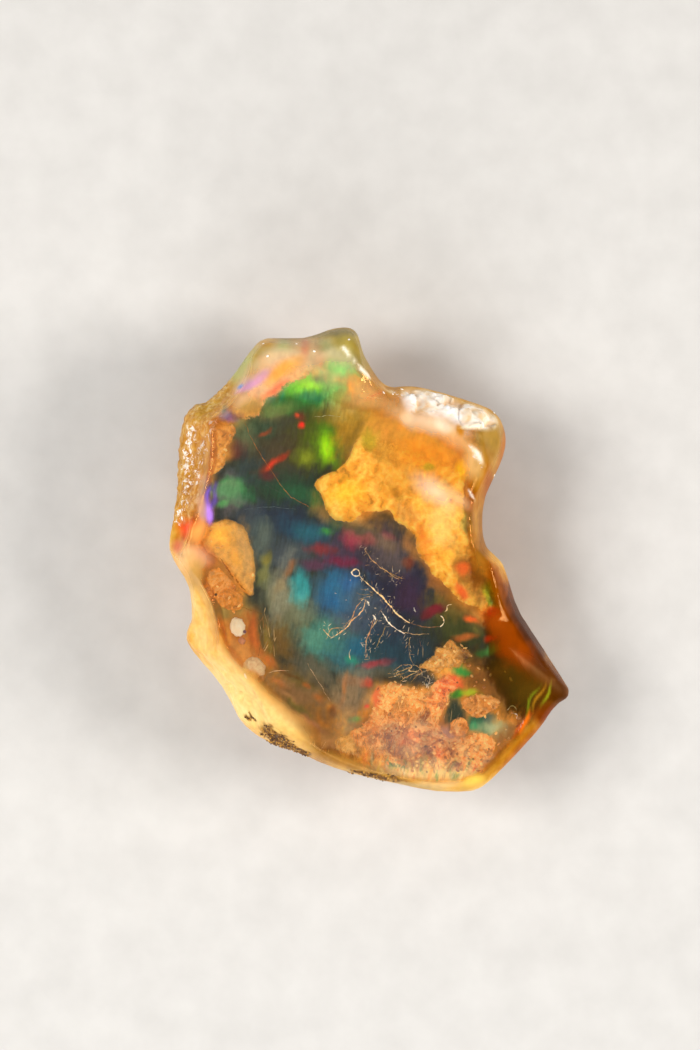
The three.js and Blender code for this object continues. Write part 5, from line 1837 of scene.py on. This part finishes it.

# %% [markdown]
# ## Pale spots, white glint chips and matrix
#
# Two round pale spots sit just under the skin at the left, like drops of cream, with a few dark and
# brown grains about them. Small white chips on the head, in the saddle beside it and on the right
# wall are painted highlights: white balls that glow a little where the face glints. They are few and
# each has its own place, so they are laid one by one, as flattened balls that lean with the face. At
# the low left edge the stone still carries a little of the brown rock that it grew in, as a crust.
# That is hundreds of grains, so the tree that scatters crumbs grows it too.

# %% Pale spots and white glint chips
SPOTS = [
    # what, colour, x, y, half length, half width, turn, half thickness, depth of its middle
    ("upper spot", "f8ecd4", -18.5, -9.4, 1.35, 1, -24, 0.3, 0.5),
    ("lower spot", "e4c498", -16.2, -15.2, 1.6, 1.5, 20, 0.3, 0.55),
    ("grain beside the upper spot", "d0906c", -17.9, -11.3, 0.55, 0.5, 0, 0.2, 0.4),
    ("dot on the upper spot", "6a4858", -17.5, -10, 0.25, 0.25, 0, 0.2, 0.22),
    ("dot in the flake", "5c3418", -21.5, -4.8, 0.2, 0.2, 0, 0.18, 0.35),
    ("edge grain", "b48448", -15.2, -16.5, 0.5, 0.5, 0, 0.2, 0.4),
]
# Painted highlights: small white balls placed where the face glints.
GLINT_CHIPS = [
    # x, y, half length, half width, turn
    (-7.8, 29.1, 0.20, 0.15, 0), (-2.95, 30.8, 0.22, 0.15, 60), (-14.9, 30.2, 0.16, 0.12, 0),
    (-10.3, 30.2, 0.16, 0.12, 30), (-14.3, 28.4, 0.20, 0.15, 40), (1.9, 23.4, 0.22, 0.13, -30),
    (4.5, 24.0, 0.24, 0.14, 0), (3.2, 23.2, 0.16, 0.12, -20), (17.6, 20.8, 0.18, 0.14, 0),
    (17.6, 11.9, 0.26, 0.12, 55),
]
GLINT_CHIP_TONE = "fffaf0"
GLINT_CHIP_PLACE = (0.10, 0.02)  # half thickness, depth of its middle
LUMPINESS = 0.2
ROUNDED = 0.9  # half length above which a ball needs finer faces


def drops(name, rows):
    """Flattened balls just under the face, lumpy and leaning with it, as one mesh with a tone each."""
    bm = bmesh.new()
    tones = []
    for what, code, x, y, long, wide, turn, half_thickness, depth in rows:
        middle, outwards = under_face(x, y, depth)
        stance = outwards.to_track_quat("Z", "Y") @ Quaternion((0, 0, 1), math.radians(turn - 180))
        size = Vector((long, wide, half_thickness))
        finer = 4 if long > ROUNDED else 2
        ball = bmesh.ops.create_icosphere(bm, subdivisions=finer, radius=1.0)["verts"]
        for vert in ball:
            lump = 1 + LUMPINESS * noise.fractal(vert.co * 2.4 + Vector((x, y, 0)), 0.9, 2.0, 3)
            vert.co = (middle + stance @ (size * vert.co * lump)) * MM
        tones += [hues(code)] * len(ball)
    mesh = bpy.data.meshes.new(name)
    bm.to_mesh(mesh)
    bm.free()
    keep_tone(mesh, "tone", np.array(tones))
    for side in mesh.polygons:
        side.use_smooth = True
    print(name, "has", len(mesh.polygons), "faces")
    return object_from(mesh, name)


# The pale spots and the white glint chips glow faintly in their own tone: painted light.
SPOT_GLOW = 0.12


def spot_finish():
    cream = Finish("pale_spot")
    mottle = cream.grain(0.6, 5.0, 0.65)
    tone = cream.mottled(cream.painted("tone"), 0.7, mottle, "949494", "d8d8d8")
    cream.set({"Base Color": tone, "Roughness": 0.5})
    cream.set({"Emission Color": tone, "Emission Strength": SPOT_GLOW})
    cream.bump(mottle, 0.1)
    return cream.material


chips_and_glints = [("white chip", GLINT_CHIP_TONE, *chip, *GLINT_CHIP_PLACE) for chip in GLINT_CHIPS]
spots_and_glint_chips = drops("pale_spots_and_glint_chips", SPOTS + chips_and_glints)
dress(spots_and_glint_chips, spot_finish())

# %% Grains of matrix
keep(outer.data, "matrix_share", crusted)
matrix = scatter.grow(
    "matrix_grains", outer.data.copy(),
    Where="matrix_share", Apart=0.24 * MM, Crowd=1.2e7, Short=0.12 * MM, Long=0.30 * MM, Width=0.16 * MM,
    Turn=0.0, Fan=3.0, Lift=-0.02 * MM, Seed=SEED + 2,
)


def matrix_finish():
    rock = Finish("brown_matrix")
    shade = rock.span(rock.attribute("tint"), -1.0, 1.0)
    tone = rock.ramp(shade, (0.0, "4c2c0c"), (0.5, "8c5c20"), (1.0, "c89038"))
    rock.set({"Base Color": tone, "Roughness": 0.7})
    rock.bump(rock.grain(0.2, 3.0), 0.05)
    return rock.material


dress(matrix, matrix_finish())

# %% [markdown]
# ## The floor, and the stone's one body
#
# The stone lies on a plain pale board, which is no part of it, so it is one flat face. Then every
# piece rides on the stone's one body, and the clear body takes the place of the CAD solid.

# %% The floor
FLOOR_SIZE = 3.0

floor_mesh = bpy.data.meshes.new("floor")
half = FLOOR_SIZE / 2
floor_mesh.from_pydata(
    [(-half, -half, 0), (half, -half, 0), (half, half, 0), (-half, half, 0)], [], [(0, 1, 2, 3)]
)


def floor_finish():
    board = Finish("pale_board")
    fibre = board.grain(6.0, 4.0)
    board.set({"Base Color": board.ramp(fibre, (0.3, "cac7c3"), (0.7, "d2cfcb")), "Roughness": 0.7})
    return board.material


floor = object_from(floor_mesh, "floor")
dress(floor, floor_finish())
print("floor, m:", FLOOR_SIZE)

# %% Ride on the stone's one body
WEARS = [
    (outer, "opal"),
    (fire, "fire_layer"),
    (crumbs, "fire_layer"),
    (fibres, "milky_opal"),
    (threads, "milky_opal"),
    (dust, "milky_opal"),
    (spots_and_glint_chips, "milky_opal"),
    (matrix, "matrix"),
]

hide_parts("opal")
for piece, slot in WEARS:
    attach(piece, "root")
